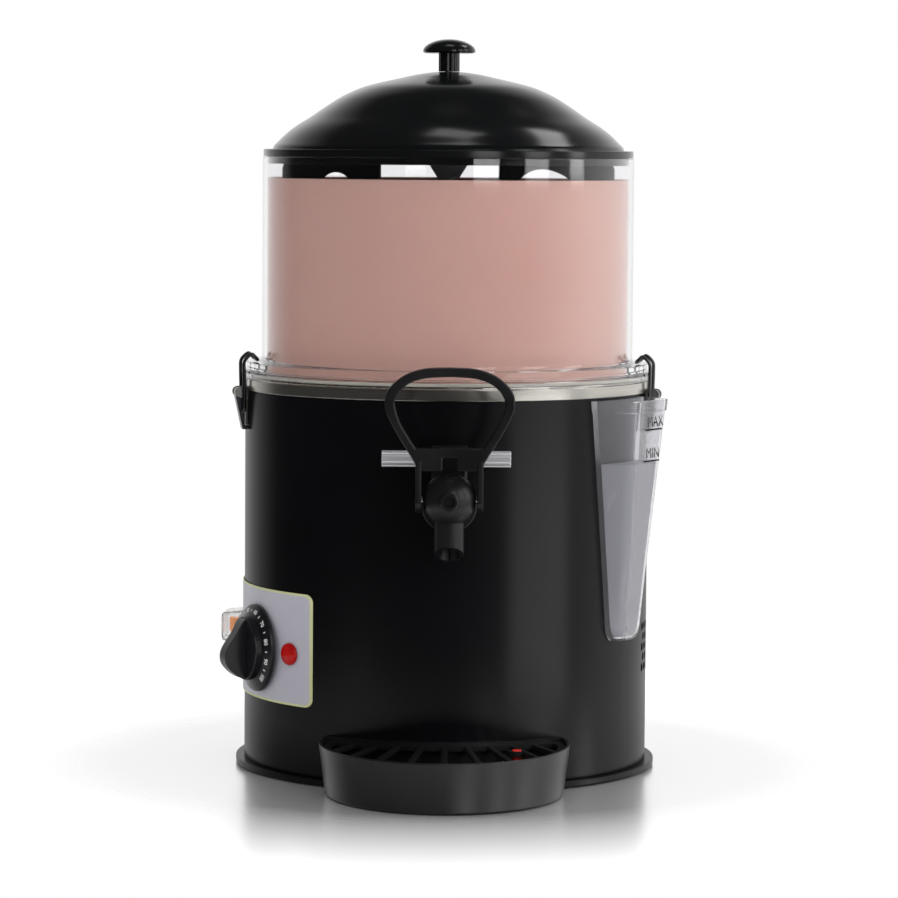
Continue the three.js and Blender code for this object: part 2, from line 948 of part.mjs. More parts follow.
// Points moved inwards from an open outline by a wall's thickness
const insetLine = (points, wall) =>
  points.map(([x, y], i) => {
    const [ax, ay] = points[Math.max(i - 1, 0)];
    const [bx, by] = points[Math.min(i + 1, points.length - 1)];
    const length = Math.hypot(bx - ax, by - ay);
    return [x - ((by - ay) / length) * wall, y + ((bx - ax) / length) * wall];
  });

// The bell-shaped lid: a thin dome with a flange on the bowl's rim and a locating skirt inside it
const lid = () => {
  const dome = domeShares.map(([r, h]) => [r * domeRadius, lidFlangeTop + h * domeHeight]);
  const under = insetLine(dome, lidWall)
    .filter((_, i) => i > 1 && i % 2)
    .reverse();
  const hole = screwRadius + seat;
  const skirtInner = lidSkirtRadius - lidWall;
  return turned([
    [lidSkirtRadius, lidSeat],
    [lidRadius, lidSeat],
    [lidRadius, lidFlangeTop - lidRound],
    [lidRadius - lidRound, lidFlangeTop],
    ...dome,
    [lidFlatRadius, lidPeak],
    [hole, lidPeak],
    [hole, lidPeak - lidWall],
    [lidFlatRadius, lidPeak - lidWall],
    ...under,
    [skirtInner, lidSeat],
    [skirtInner, lidSeat - lidSkirtDrop],
    [lidSkirtRadius, lidSeat - lidSkirtDrop],
  ]);
};

// The lid's knob: a domed cap on a fluted stem
const lidKnob = () => {
  const flutes = [];
  for (let i = 0; i < knobFlutes * fluteSteps; i += 1) {
    const radius = i % fluteSteps < 2 ? knobStemRadius : knobStemRadius - knobFluteDepth;
    const angle = (2 * Math.PI * i) / (knobFlutes * fluteSteps);
    flutes.push([radius * Math.cos(angle), radius * Math.sin(angle)]);
  }
  const stemBottom = lidPeak + seat;
  const stemMiddle = stemBottom + knobStemHeight / 2;
  const stem = moved(extruded(outlineOf(flutes), knobStemHeight), 0, 0, stemMiddle);
  const capBottom = stemBottom + knobStemHeight;
  const cap = turned(
    knobShares.map(([r, h]) => [r * knobRadius, capBottom + h * knobCapHeight]),
    midSteps,
  );
  const socket = disc(
    screwRadius + seat,
    stemBottom - overrun,
    stemBottom + screwGrip + seat,
    smallSteps,
  );
  return cut(join(stem, moved(cap, 0, 0, -weld)), socket);
};

const lidKnobScrew = () => {
  const headTop = lidPeak - lidWall - seat;
  return turned(
    [
      [0, headTop - screwHeadHeight],
      [screwHeadRadius, headTop - screwHeadHeight],
      [screwHeadRadius, headTop],
      [screwRadius, headTop],
      [screwRadius, lidPeak + seat + screwGrip],
      [0, lidPeak + seat + screwGrip],
    ],
    smallSteps,
  );
};

// A folded bracket carries the gearmotor above the base pan
const motorBracket = () => {
  const floor = panFloorBottom + panSheet + seat;
  const half = bracketLength / 2;
  const sheetIn = bracketSheet;
  const shape = outlineOf([
    [-half - bracketFoot, floor],
    [-half + sheetIn, floor],
    [-half + sheetIn, bracketTop - sheetIn],
    [half - sheetIn, bracketTop - sheetIn],
    [half - sheetIn, floor],
    [half + bracketFoot, floor],
    [half + bracketFoot, floor + sheetIn],
    [half, floor + sheetIn],
    [half, bracketTop],
    [-half, bracketTop],
    [-half, floor + sheetIn],
    [-half - bracketFoot, floor + sheetIn],
  ]);
  return cut(
    uprightPlate(shape, bracketWidth),
    disc(motorSpigot + seat, bracketTop - overrun, bracketTop + overrun, midSteps),
  );
};

const gearmotor = () => {
  const top = bracketTop - bracketSheet - seat;
  return turned(
    [
      [0, top - motorHeight],
      [motorRadius - motorNose, top - motorHeight],
      [motorRadius, top - motorHeight + motorNose],
      [motorRadius, top],
      [motorSpigot, top],
      [motorSpigot, bracketTop],
      [0, bracketTop],
    ],
    midSteps,
  );
};

const gearboxTop = bracketTop + seat + gearboxHeight;
const shaftBottom = gearboxTop - gearboxHeight / 2;

const gearbox = () => {
  const half = gearboxSide / 2;
  const shape = roundedRectangle(half, half, gearboxCorner);
  const bossTop = gearboxTop + couplingHeight;
  const box = moved(extruded(shape, gearboxHeight, 0, 2), 0, gearboxOffset, shaftBottom);
  const boss = disc(couplingRadius, shaftBottom, bossTop, smallSteps);
  const bore = disc(shaftRadius + seat, shaftBottom - seat, bossTop + overrun, smallSteps);
  return cut(join(box, boss), bore);
};

const driveShaft = () => disc(shaftRadius, shaftBottom, shaftTop, smallSteps);

const shaftSeal = () =>
  ring(shaftRadius + seat, sleeveBore - seat, potFloor - sealHeight, potFloor - seat, smallSteps);

// The paddle: two tall blades with arched windows, joined to the hub by a crossbar and a foot bar
const stirrer = () => {
  const blades = new THREE.Shape();
  blades.moveTo(-bladeReach, bladeBottom);
  blades.lineTo(bladeReach, bladeBottom);
  blades.lineTo(bladeReach, bladeTop - bladeCorner);
  blades.lineTo(bladeReach - bladeCorner, bladeTop);
  blades.lineTo(rightBladeInner, bladeTop);
  blades.lineTo(rightBladeInner, crossbarTop);
  blades.lineTo(-leftBladeInner, crossbarTop);
  blades.lineTo(-leftBladeInner, bladeTop);
  blades.lineTo(bladeCorner - bladeReach, bladeTop);
  blades.lineTo(-bladeReach, bladeTop - bladeCorner);
  const archRadius = (leftWindowOuter - leftWindowInner) / 2;
  const leftWindow = new THREE.Shape();
  leftWindow.moveTo(-leftWindowOuter, windowBottom);
  leftWindow.lineTo(-leftWindowInner, windowBottom);
  leftWindow.absarc(
    -leftWindowInner - archRadius,
    leftWindowTop - archRadius,
    archRadius,
    0,
    Math.PI,
  );
  const rightWindow = new THREE.Shape();
  const rightSpan = rightWindowOuter - rightWindowInner;
  rightWindow.moveTo(rightWindowInner, windowBottom);
  rightWindow.lineTo(rightWindowOuter, windowBottom);
  rightWindow.lineTo(rightWindowOuter, rightWindowShoulder);
  rightWindow.bezierCurveTo(
    rightWindowOuter - rightSpan * archOuterShare,
    rightWindowTop,
    rightWindowInner + rightSpan / 2,
    rightWindowTop + bladeCorner / 2,
    rightWindowInner + rightSpan * archInnerShare,
    rightWindowTop - bladeCorner / 2,
  );
  rightWindow.lineTo(rightWindowInner, rightWindowShoulder);
  const throughDepth = bladeThickness * 2;
  const windows = [
    uprightPlate(leftWindow, throughDepth, 0, archSteps),
    uprightPlate(rightWindow, throughDepth, 0, eyeSteps),
    block(-leftBladeInner, -bladeThickness, footbarTop, 0, bladeThickness, crossbarBottom),
    block(0, -bladeThickness, footbarTop, rightBladeInner, bladeThickness, crossbarBottom),
  ];
  const hub = disc(stirrerHubRadius, potFloor + stirrerFloorGap, stirrerHubTop, smallSteps);
  const bore = disc(shaftRadius + seat, potFloor, stirrerHubTop + overrun, smallSteps);
  return cut(join(cut(uprightPlate(blades, bladeThickness), ...windows), hub), bore);
};

// The grey cone nut that holds the stirrer on its shaft
const stirrerCone = () =>
  turned(
    [
      [shaftRadius + seat, coneTop - coneHeight],
      [coneNeck, coneTop - coneHeight],
      [coneRadius, coneTop - coneRim],
      [coneRadius, coneTop],
      [shaftRadius + seat, coneTop],
    ],
    smallSteps,
  );

// The tap body: ball, barrel, mounting flange with the bar's lug, and the slanted spout
const tapBody = () => {
  const casingClear = bodyRadius + seat;
  const flangeBack = bodyRadius + tapGasketThickness;
  const flangeFront = flangeBack + tapFlangeThickness;
  const ball = new THREE.SphereGeometry(ballRadius, midSteps, ballSteps).rotateX(Math.PI / 2);
  const lugHalf = barLugWidth / 2;
  const lugFront = barOut + barRadius + barLugWall;
  const lugTop = barHeight + barRadius + barLugWall;
  const gasketClear = outletHeight + tapFlangeRadius + seat;
  const lug = join(
    block(-lugHalf, -lugFront, outletHeight, lugHalf, -flangeBack, lugTop),
    block(-lugHalf, -lugFront, gasketClear, lugHalf, -casingClear, lugTop),
  );
  const boss = radialRod(frontBossRadius, tapReach, tapReach + ballRadius + frontBossHeight, midSteps);
  const recessFloor = tapReach + ballRadius - frontBossHeight;
  const whole = join(
    moved(ball, 0, -tapReach, tapHeight),
    moved(radialRod(barrelRadius, flangeBack, tapReach), 0, 0, outletHeight),
    moved(radialRod(tapFlangeRadius, flangeBack, flangeFront), 0, 0, outletHeight),
    moved(radialRod(shankRadius, tankRadius + seat, flangeBack + seat), 0, 0, outletHeight),
    moved(disc(spoutRadius, spoutBack, tapHeight, midSteps), 0, -tapReach, 0),
    moved(boss, 0, 0, tapHeight),
    lug,
  );
  const slantOverrun = (overrun * (spoutFront - spoutBack)) / (2 * spoutRadius);
  const slant = outlineOf([
    [tapReach + spoutRadius + overrun, spoutFront + slantOverrun],
    [tapReach - spoutRadius, spoutBack],
    [tapReach - spoutRadius, spoutBack - overrun],
    [tapReach + spoutRadius + overrun, spoutBack - overrun],
  ]);
  const bodySpace = cut(
    moved(disc(casingClear, tapHeight - tapFlangeRadius * 2, barHeight + barRadius * 2), -tapX, 0, 0),
    moved(radialRod(shankRadius, tankRadius, flangeBack + overrun), 0, 0, outletHeight),
  );
  return cut(
    whole,
    moved(disc(chamberRadius, chamberFloor, tapHeight + ballRadius + overrun, midSteps), 0, -tapReach, 0),
    moved(disc(spoutBore, spoutBack - overrun, chamberFloor + overrun, midSteps), 0, -tapReach, 0),
    moved(radialRod(outletBore, tankRadius, tapReach, smallSteps), 0, 0, outletHeight),
    moved(radialRod(outletRadius + seat, tankRadius - overrun, casingInner + seat), 0, 0, outletHeight),
    moved(radialRod(frontBossRecess, recessFloor, recessFloor + overrun * 2, smallSteps), 0, 0, tapHeight),
    camRod(camRadius + seat, ballRadius + overrun),
    sidePlate(slant, (spoutRadius + overrun) * 2),
    barHole(),
    bodySpace,
  );
};

// A rod across the tap at the handle's pivot
const camRod = (radius, half) =>
  moved(disc(radius, -half, half, smallSteps).rotateY(Math.PI / 2), 0, -tapReach, tapHeight);

const barOut = bodyRadius + seat + barLugBack + seat + barRadius;

const barHole = () =>
  moved(
    disc(barRadius + seat, -barLugWidth, barLugWidth, midSteps).rotateY(Math.PI / 2),
    0,
    -barOut,
    barHeight,
  );

const tapGasket = () => {
  const washer = cut(
    radialRod(tapFlangeRadius, tankRadius, bodyRadius + tapGasketThickness - seat),
    radialRod(shankRadius + seat, tankRadius - overrun, bodyRadius + overrun * 2),
  );
  const body = moved(disc(bodyRadius + seat, -bodyRadius, bodyRadius), -tapX, 0, 0);
  const above = block(
    -tapFlangeRadius,
    -bodyRadius - overrun,
    barHeight - outletHeight - barRadius - barLugWall,
    tapFlangeRadius,
    0,
    tapFlangeRadius + overrun,
  );
  return moved(cut(washer, body, above), 0, 0, outletHeight);
};

const tapNut = () => {
  const back = Math.sqrt(casingInnerFlat ** 2 - (nutFlats + tapX) ** 2) - seat;
  const blank = facingFront(disc(nutFlats, back - nutThickness, back, hexSides));
  const bore = radialRod(shankRadius + seat, back - nutThickness - overrun, back + overrun);
  return moved(cut(blank, bore), 0, 0, outletHeight);
};

const tapCap = () => {
  const sphere = new THREE.SphereGeometry(ballRadius, midSteps, ballSteps).rotateX(Math.PI / 2);
  const plug = disc(chamberRadius - seat, ballRadius - capThickness, ballRadius, midSteps);
  const slotFloor = ballRadius - capSlotDepth;
  const slot = block(-chamberRadius, -seat * 2, slotFloor, chamberRadius, seat * 2, ballRadius + seat);
  return moved(cut(shared(sphere, plug), slot), 0, -tapReach, tapHeight);
};

// The plunger closes the spout, and the cam finger lifts it by the roof of its notch
const plungerBottom = chamberFloor + seat + plungerSealHeight + seat;
const plungerRadius = chamberRadius - plungerWallGap;
const plunger = () => {
  const notchRoof = tapHeight + camRadius + seat;
  const notchFloor = tapHeight - camRadius - seat * 2 - plungerLift;
  const blank = disc(plungerRadius, plungerBottom, plungerTop, midSteps);
  const notch = block(
    -chamberRadius,
    -camRadius - seat * 2,
    notchFloor,
    chamberRadius,
    chamberRadius,
    notchRoof,
  );
  return moved(cut(blank, notch), 0, -tapReach, 0);
};

const plungerSeal = () =>
  moved(
    disc(plungerRadius, chamberFloor + seat, chamberFloor + seat + plungerSealHeight, midSteps),
    0,
    -tapReach,
    0,
  );

const camShaft = () => {
  const half = ballRadius + armGap + armThickness;
  const finger = block(
    -camFingerWidth / 2,
    -tapReach,
    tapHeight - camRadius,
    camFingerWidth / 2,
    camFingerReach - tapReach,
    tapHeight + camRadius,
  );
  return join(camRod(camRadius, half), finger);
};

// A closed-end helix, measured against itself
class Helix extends THREE.Curve {
  constructor(radius, from, to, curls) {
    super();
    Object.assign(this, { radius, from, to, curls });
  }

  getPoint(t, target = new THREE.Vector3()) {
    const angle = 2 * Math.PI * this.curls * t;
    const height = this.from + (this.to - this.from) * t;
    return target.set(this.radius * Math.cos(angle), this.radius * Math.sin(angle), height);
  }
}

const springFrom = plungerTop + seat;
const springTo = tapHeight + ballRadius - capThickness - seat;
const plungerSpring = () => {
  const radius = plungerRadius - springWire * 2;
  const path = new Helix(radius, springFrom + springWire, springTo - springWire, springCurls);
  const steps = springCurls * springSidesPerCurl;
  const points = path.getPoints(steps);
  let least = Infinity;
  points.forEach((a, i) =>
    points.slice(i + springSidesPerCurl / 2).forEach((b) => {
      least = Math.min(least, a.distanceTo(b) - 2 * springWire);
    }),
  );
  console.log("plunger spring: least gap to itself " + least.toFixed(2) + " mm");
  return moved(along(path, springWire, steps, springSectionSides), 0, -tapReach, 0);
};

// The handle: a bevelled loop whose two arms straddle the ball, drawn from its pivot
const tapHandle = () => {
  const mirrored = (half) => [...half, ...half.slice(1).reverse().map(([x, z]) => [-x, z])];
  const outer = mirrored(loopShares.map(([x, z]) => [x * loopHalfWidth, z * loopTop]));
  const holeRise = loopHoleTop - loopHoleBottom;
  const inner = mirrored(
    loopHoleShares.map(([x, z]) => [x * loopHoleHalfWidth, loopHoleBottom + z * holeRise]),
  );
  const shape = outlineOf(outer);
  shape.holes.push(new THREE.Path(inner.map(([x, z]) => new THREE.Vector2(x, z))));
  const loop = uprightPlate(shape, loopDepth, loopBevel);
  const slot = block(-webSlot / 2, -loopDepth, 0, webSlot / 2, loopDepth, webSlotTop);
  const armFrom = ballRadius + armGap;
  const armShape = new THREE.Shape();
  armShape.absarc(0, 0, armHubRadius, Math.PI, 2 * Math.PI);
  armShape.lineTo(loopDepth / 2, armTop);
  armShape.lineTo(-loopDepth / 2, armTop);
  const arm = sidePlate(armShape, armThickness, 0, pinSteps);
  const bore = disc(camRadius + seat, -loopHalfWidth, loopHalfWidth, smallSteps).rotateY(Math.PI / 2);
  const clearBall = new THREE.SphereGeometry(ballRadius + armGap, midSteps, ballSteps);
  const arms = [-1, 1].map((side) => moved(arm, side * (armFrom + armThickness / 2), 0, 0));
  const whole = join(cut(loop, slot), ...arms);
  return moved(cut(whole, clearBall, bore), 0, -tapReach, tapHeight);
};

// The grooved bar that locks the tap, pushed through the lug
const retainerBar = () => {
  const outline = [];
  for (let i = 0; i < barGrooves * 2; i += 1) {
    const radius = i % 2 ? barRadius - barGroove : barRadius;
    const angle = (Math.PI * i) / barGrooves;
    outline.push([radius * Math.cos(angle), radius * Math.sin(angle)]);
  }
  return extruded(outlineOf(outline), barLength)
    .rotateY(Math.PI / 2)
    .translate(0, -barOut, barHeight);
};

// Latch parts, drawn with the casing behind them
const latchBracket = () => {
  const back = bodyRadius + seat;
  const plateOut = back + latchPlateThickness;
  const halfWidth = leverHalfWidth + earGap + earThickness;
  const plate = block(-halfWidth, -plateOut, latchPlateBottom, halfWidth, -back, casingTop);
  const skirtClear = rimRadius + seat;
  const ear = new THREE.Shape();
  ear.moveTo(back, earBottom);
  ear.lineTo(latchPivotOut, latchPivotUp - earRadius);
  ear.absarc(latchPivotOut, latchPivotUp, earRadius, -Math.PI / 2, Math.PI / 2);
  ear.lineTo(skirtClear, latchPivotUp + earRadius);
  ear.lineTo(skirtClear, casingTop);
  ear.lineTo(back, casingTop);
  const ears = [-1, 1].map((side) =>
    moved(sidePlate(ear, earThickness, 0, eyeSteps), side * (halfWidth - earThickness / 2), 0, 0),
  );
  const pin = disc(latchPinRadius, -halfWidth, halfWidth, pinSteps).rotateY(Math.PI / 2);
  return join(plate, ...ears, moved(pin, 0, -latchPivotOut, latchPivotUp));
};

const latchLever = () => {
  const blade = new THREE.Shape();
  const endOut = bodyRadius + seat;
  const bailFace = bailPivotOut - bailWire;
  blade.moveTo(endOut, leverEnd);
  blade.lineTo(endOut + leverEndThickness, leverEnd);
  blade.lineTo(latchPivotOut + leverEye, latchPivotUp);
  blade.absarc(latchPivotOut, latchPivotUp, leverEye, 0, Math.PI);
  blade.lineTo(bailFace, bailPivotUp + bailWire * 2);
  blade.lineTo(bodyRadius + seat * 2 + latchPlateThickness, bailPivotUp);
  blade.lineTo(bodyRadius + seat * 2 + latchPlateThickness, latchPlateBottom);
  blade.lineTo(endOut, latchPlateBottom - seat * 2);
  const eye = disc(latchPinRadius + seat, -bodyRadius, bodyRadius, pinSteps).rotateY(Math.PI / 2);
  const bailEye = disc(bailWire + seat, -bodyRadius, bodyRadius, pinSteps).rotateY(Math.PI / 2);
  return cut(
    sidePlate(blade, leverHalfWidth * 2, 0, eyeSteps),
    moved(eye, 0, -latchPivotOut, latchPivotUp),
    moved(bailEye, 0, -bailPivotOut, bailPivotUp),
  );
};

// The sprung wire bail: both ends meet in the lever, and its loop hooks over the bowl's flange
const latchBail = () => {
  const hookUp = bowlTierTop + hookLift + bailWire;
  const bend = bailWire * 2;
  const half = [
    [seat, bailPivotOut, bailPivotUp],
    [bailSpread - bend, bailPivotOut, bailPivotUp],
    [bailSpread, bailPivotOut, bailPivotUp + bend],
    [bailSpread, bailPivotOut, (bailPivotUp + bowlTierBottom) / 2],
    [bailSpread, bailPivotOut + seat, bowlTierBottom],
    [bailSpread, hookShoulderOut, bowlTierTop + bend / 2],
    [bailSpread, hookCrestOut, hookCrest],
    [bailSpread, hookOut + bend, hookUp + bend],
    [bailSpread - bend / 2, hookOut + seat, hookUp + seat],
    [bailSpread - bend * 2, hookOut, hookUp],
  ];
  const points = [...half, ...half.map(([x, out, up]) => [-x, out, up]).reverse()];
  const path = new THREE.CatmullRomCurve3(
    points.map(([x, out, up]) => new THREE.Vector3(x, -out, up)),
    false,
    "centripetal",
  );
  return along(path, bailWire, bailSteps, hexSides);
};

// The control plate is bent round the casing
const controlPlate = () => {
  const middle = (plateFrom + plateTo) / 2;
  const halfWidth = plateFace * Math.sin((plateTo - plateFrom) / 2);
  const halfHeight = (plateTop - plateBottom) / 2;
  const outline = roundedRectangle(halfWidth, halfHeight, plateCorner);
  const window = uprightPlate(outline, bodyRadius * 2, 0, archSteps);
  const face = moved(window, 0, -bodyRadius, (plateTop + plateBottom) / 2);
  const skin = ring(bodyRadius + seat, plateFace, plateBottom - overrun, plateTop + overrun);
  return cut(shared(skin, atAzimuth(face, middle)), ...controlHoles(seat));
};

const dialBack = plateFace + runGap;

// The thermostat's dial with its drum and finger grip
const thermostatKnob = () => {
  const slopeTop = dialRim + dialSlope;
  const body = turned(
    [
      [0, 0],
      [dialRadius, 0],
      [dialRadius, dialRim],
      [dialRadius - dialRound, dialRim + dialRound],
      [dialDrumRadius, slopeTop],
      [dialDrumRadius, dialDrumTop - dialRound],
      [dialDrumRadius - dialRound, dialDrumTop],
      [0, dialDrumTop],
    ],
    midSteps,
  );
  const socket = disc(stemRadius + seat, -overrun, stemSocket + seat, smallSteps);
  const gripPoints = gripShares.map(([z, out]) => [dialDrumTop + out * gripHeight, -z * gripLength]);
  const grip = outlineOf(gripPoints.reverse());
  const turnedBody = moved(facingFront(cut(body, socket)), 0, -dialBack, controlHeight);
  const fin = moved(sidePlate(grip, gripWidth, gripBevel), 0, -dialBack, controlHeight);
  return join(turnedBody, fin);
};

const stemTip = dialBack + stemSocket;
const stemBack = stemTip - stemLength;

const thermostatStem = () =>
  moved(radialRod(stemRadius, stemBack, stemTip, smallSteps), 0, 0, controlHeight);

const thermostatBody = () => {
  const half = thermostatSide / 2;
  const front = Math.sqrt(casingInnerFlat ** 2 - half ** 2) - seat;
  const box = block(-half, -front, -half, half, thermostatDepth - front, half);
  const bore = radialRod(stemRadius + seat, stemBack - seat, bodyRadius + overrun, smallSteps);
  return moved(cut(box, bore), 0, 0, controlHeight);
};

// The pilot lamp: a domed lens whose spigot plugs into a holder behind the casing
const lampLens = () => {
  const back = plateFace + seat;
  const lens = turned(
    [
      [0, back - lampSpigotLength],
      [lampSpigot, back - lampSpigotLength],
      [lampSpigot, back],
      [lampRadius, back],
      [lampRadius, back + lampRim],
      ...lampShares.map(([r, rise]) => [lampRadius * r, back + lampRise * rise]),
      [0, back + lampRise],
    ],
    midSteps,
  );
  return moved(facingFront(lens), 0, 0, controlHeight);
};

const lampHolder = () => {
  const front = Math.sqrt(casingInnerFlat ** 2 - lampBodyRadius ** 2) - seat;
  const spigotBack = plateFace + seat - lampSpigotLength;
  return moved(
    cut(
      radialRod(lampBodyRadius, front - lampBodyLength, front, smallSteps),
      radialRod(lampSpigot + seat, spigotBack - seat, front + overrun, smallSteps),
    ),
    0,
    0,
    controlHeight,
  );
};

const bezelBack = plateFace + seat;

// The rocker switch in its moulded housing
const switchHousing = () => {
  const bodyHalf = switchBodyWidth / 2;
  const bodyRise = switchBodyHeight / 2;
  const front = bezelBack + bezelThickness;
  const pocketHalf = rockerPocketWidth / 2;
  const pocketRise = rockerHeight / 2 + runGap;
  const pocketFloor = rockerAxisOut - rockerPocketDepth / 2;
  const pinHalf = pocketRise + rockerPinLength;
  const pins = disc(rockerPinRadius + seat, -pinHalf, pinHalf, pinSteps);
  return moved(
    cut(
      join(
        block(-bodyHalf, -front, -bodyRise, bodyHalf, switchBodyDepth - front, bodyRise),
        block(-bezelWidth / 2, -front, -bezelHeight / 2, bezelWidth / 2, -bezelBack, bezelHeight / 2),
      ),
      block(-pocketHalf, -front - overrun, -pocketRise, pocketHalf, -pocketFloor, pocketRise),
      moved(pins, 0, -rockerAxisOut, 0),
    ),
    0,
    0,
    switchHeight,
  );
};

const switchRocker = () => {
  const half = rockerWidth / 2;
  const shape = new THREE.Shape();
  shape.moveTo(-half, -rockerEndRise);
  shape.lineTo(-half * rockerBendShare, -rockerMidRise - seat * 2);
  shape.lineTo(0, -rockerMidRise);
  shape.lineTo(half * rockerBendShare, -rockerMidRise - seat * 2);
  shape.lineTo(half, -rockerEndRise);
  shape.lineTo(half, 0);
  shape.lineTo(half / 2, rockerPinRadius * 2);
  shape.lineTo(-half / 2, rockerPinRadius * 2);
  shape.lineTo(-half, 0);
  const pinHalf = rockerHeight / 2 + runGap + rockerPinLength - seat;
  const whole = join(
    extruded(shape, rockerHeight, seat * 2),
    disc(rockerPinRadius, -pinHalf, pinHalf, pinSteps),
  );
  return moved(whole.rotateZ(rockerTilt), 0, -rockerAxisOut, switchHeight);
};

// The clear splash hood over the switch, open at its back
const switchCover = () => {
  const level = (out, halfWidth, halfHeight) =>
    roundedRectangle(halfWidth, halfHeight, coverCorner)
      .getPoints(2)
      .slice(0, -1)
      .map(({ x, y }) => [x, y, out]);
  const skin = (from, to, inset, run) => {
    const wide = coverWidth / 2 - inset;
    const tall = coverHeight / 2 - inset;
    return loft([
      level(from, wide + run, tall + run),
      level(to - coverTaper, wide - coverTaper / 2, tall - coverTaper / 2),
      level(to, wide - coverTaper, tall - coverTaper),
    ]);
  };
  const back = plateFace + seat;
  const hood = cut(
    skin(back, coverReach, 0, 0),
    skin(back - seat, coverReach - coverWall, coverWall, weld),
  );
  return moved(facingFront(hood), 0, 0, switchHeight);
};

// The tapering reservoir cup, whose back follows the casing
const cupSection = (height, inset, spread = 0) => {
  const share = (height - cupBottom) / (cupTop - cupBottom);
  const lerp = THREE.MathUtils.lerp;
  const foot = Math.min(1, Math.max(0, (height - cupBottom) / cupFoot));
  const pair = foot < cupFootShares[1][0] ? 0 : 1;
  const [h0, s0] = cupFootShares[pair];
  const [h1, s1] = cupFootShares[pair + 1];
  const shrink = lerp(s0, s1, (foot - h0) / (h1 - h0));
  const back = lerp(cupBackBottom, cupBackTop, share) * shrink - inset + spread;
  const face = lerp(cupFaceBottom, cupFaceTop, share) * shrink - inset * cupInsetShare + spread;
  const reach = lerp(cupReachBottom, cupReachTop, share) - inset + spread - (1 - shrink) * cupFoot;
  const backRadius = bodyRadius + seat + inset;
  const corner = Math.min(cupCorner - inset * cupInsetShare, (reach - backRadius) / 2);
  const sideAngle = Math.asin(back / backRadius);
  const sideY = -backRadius * Math.cos(sideAngle);
  const slope = (back - face) / (sideY + reach);
  const points = [];
  for (const t of cupCornerShares) {
    const x = face - corner * (1 - t) ** 2 + slope * corner * t ** 2;
    const y = -reach + corner * t ** 2;
    points.push([x, y, height]);
  }
  for (let i = 0; i <= cupBackSteps; i += 1) {
    const angle = sideAngle * (1 - (2 * i) / cupBackSteps);
    points.push([backRadius * Math.sin(angle), -backRadius * Math.cos(angle), height]);
  }
  const left = points.slice(0, cupCornerShares.length).reverse();
  return [...points, ...left.map(([x, y, z]) => [-x, y, z])];
};

const reservoirCup = () => {
  const footLevels = cupFootShares.map(([h]) => cupBottom + h * cupFoot);
  const lipBottom = cupTop - cupLipHeight;
  const outer = loft([
    ...footLevels.map((height) => cupSection(height, 0)),
    ...cupMiddleShares.map((share) => cupSection(cupBottom + share * (lipBottom - cupBottom), 0)),
    cupSection(lipBottom, 0),
    cupSection(lipBottom + cupLipOut, 0, cupLipOut),
    cupSection(cupTop, 0, cupLipOut),
  ]);
  const inner = loft([
    ...footLevels.map((height) => cupSection(height + cupWall, cupWall)),
    ...cupMiddleShares.map((share) =>
      cupSection(cupBottom + share * (lipBottom - cupBottom), cupWall),
    ),
    cupSection(cupTop, cupWall),
    cupSection(cupTop, cupWall).map(([x, y, z]) => [x, y, z + overrun]),
  ]);
  const portEnd = bodyRadius + cupWall + overrun;
  const port = radialRod(fittingRadius + seat, bodyRadius - overrun, portEnd, smallSteps);
  return cut(outer, inner, moved(port, 0, 0, fittingHeight));
};

// The hollow bolt that joins the cup to the bath and holds it on the casing
const reservoirFitting = () => {
  const seatOut = bodyRadius + seat + cupWall + seat;
  const end = tankRadius - sheet - seat;
  const pipe = turned(
    [
      [fittingBore, end],
      [fittingRadius, end],
      [fittingRadius, seatOut],
      [fittingHead, seatOut],
      [fittingHead, seatOut + fittingHeadThickness],
      [fittingBore, seatOut + fittingHeadThickness],
    ],
    smallSteps,
  );
  return moved(facingFront(pipe), 0, 0, fittingHeight);
};

// The half-oval drip tray, cut to follow the casing above the pan's flange
const traySection = (height, inset) => {
  const share = height / trayTop;
  const round = Math.max(0, trayFoot - height);
  const a = trayHalfWidth - trayTaper * (1 - share) - inset - round;
  const b = trayDepth - trayTaper * (1 - share) - inset - round;
  return Array.from({ length: roundSteps }, (_, i) => {
    const angle = (2 * Math.PI * i) / roundSteps;
    return [a * Math.cos(angle), b * Math.sin(angle) - trayCentreOut, height];
  });
};

const flangeClear = panFlangeRadius + runGap;
const stepHeight = panFlangeTop + runGap;
const trayBodyClear = bodyRadius + runGap;

const dripTray = () => {
  const outer = cut(
    loft([traySection(0, 0), traySection(trayFoot, 0), traySection(trayTop, 0)]),
    disc(trayBodyClear, stepHeight, trayTop + overrun),
    disc(flangeClear, -overrun, stepHeight),
  );
  const pocketLow = traySection(trayFloor, trayWall);
  const pocketHigh = traySection(trayTop, trayWall);
  const pocket = cut(
    loft([pocketLow, pocketHigh, pocketHigh.map(([x, y, z]) => [x, y, z + overrun])]),
    disc(trayBodyClear + trayWall, 0, trayTop + overrun * 2),
    disc(flangeClear + trayWall, 0, stepHeight + trayWall),
  );
  return cut(outer, pocket);
};

const grilleTop = trayTop - grilleDrop;
const grilleBottom = grilleTop - grilleThickness;

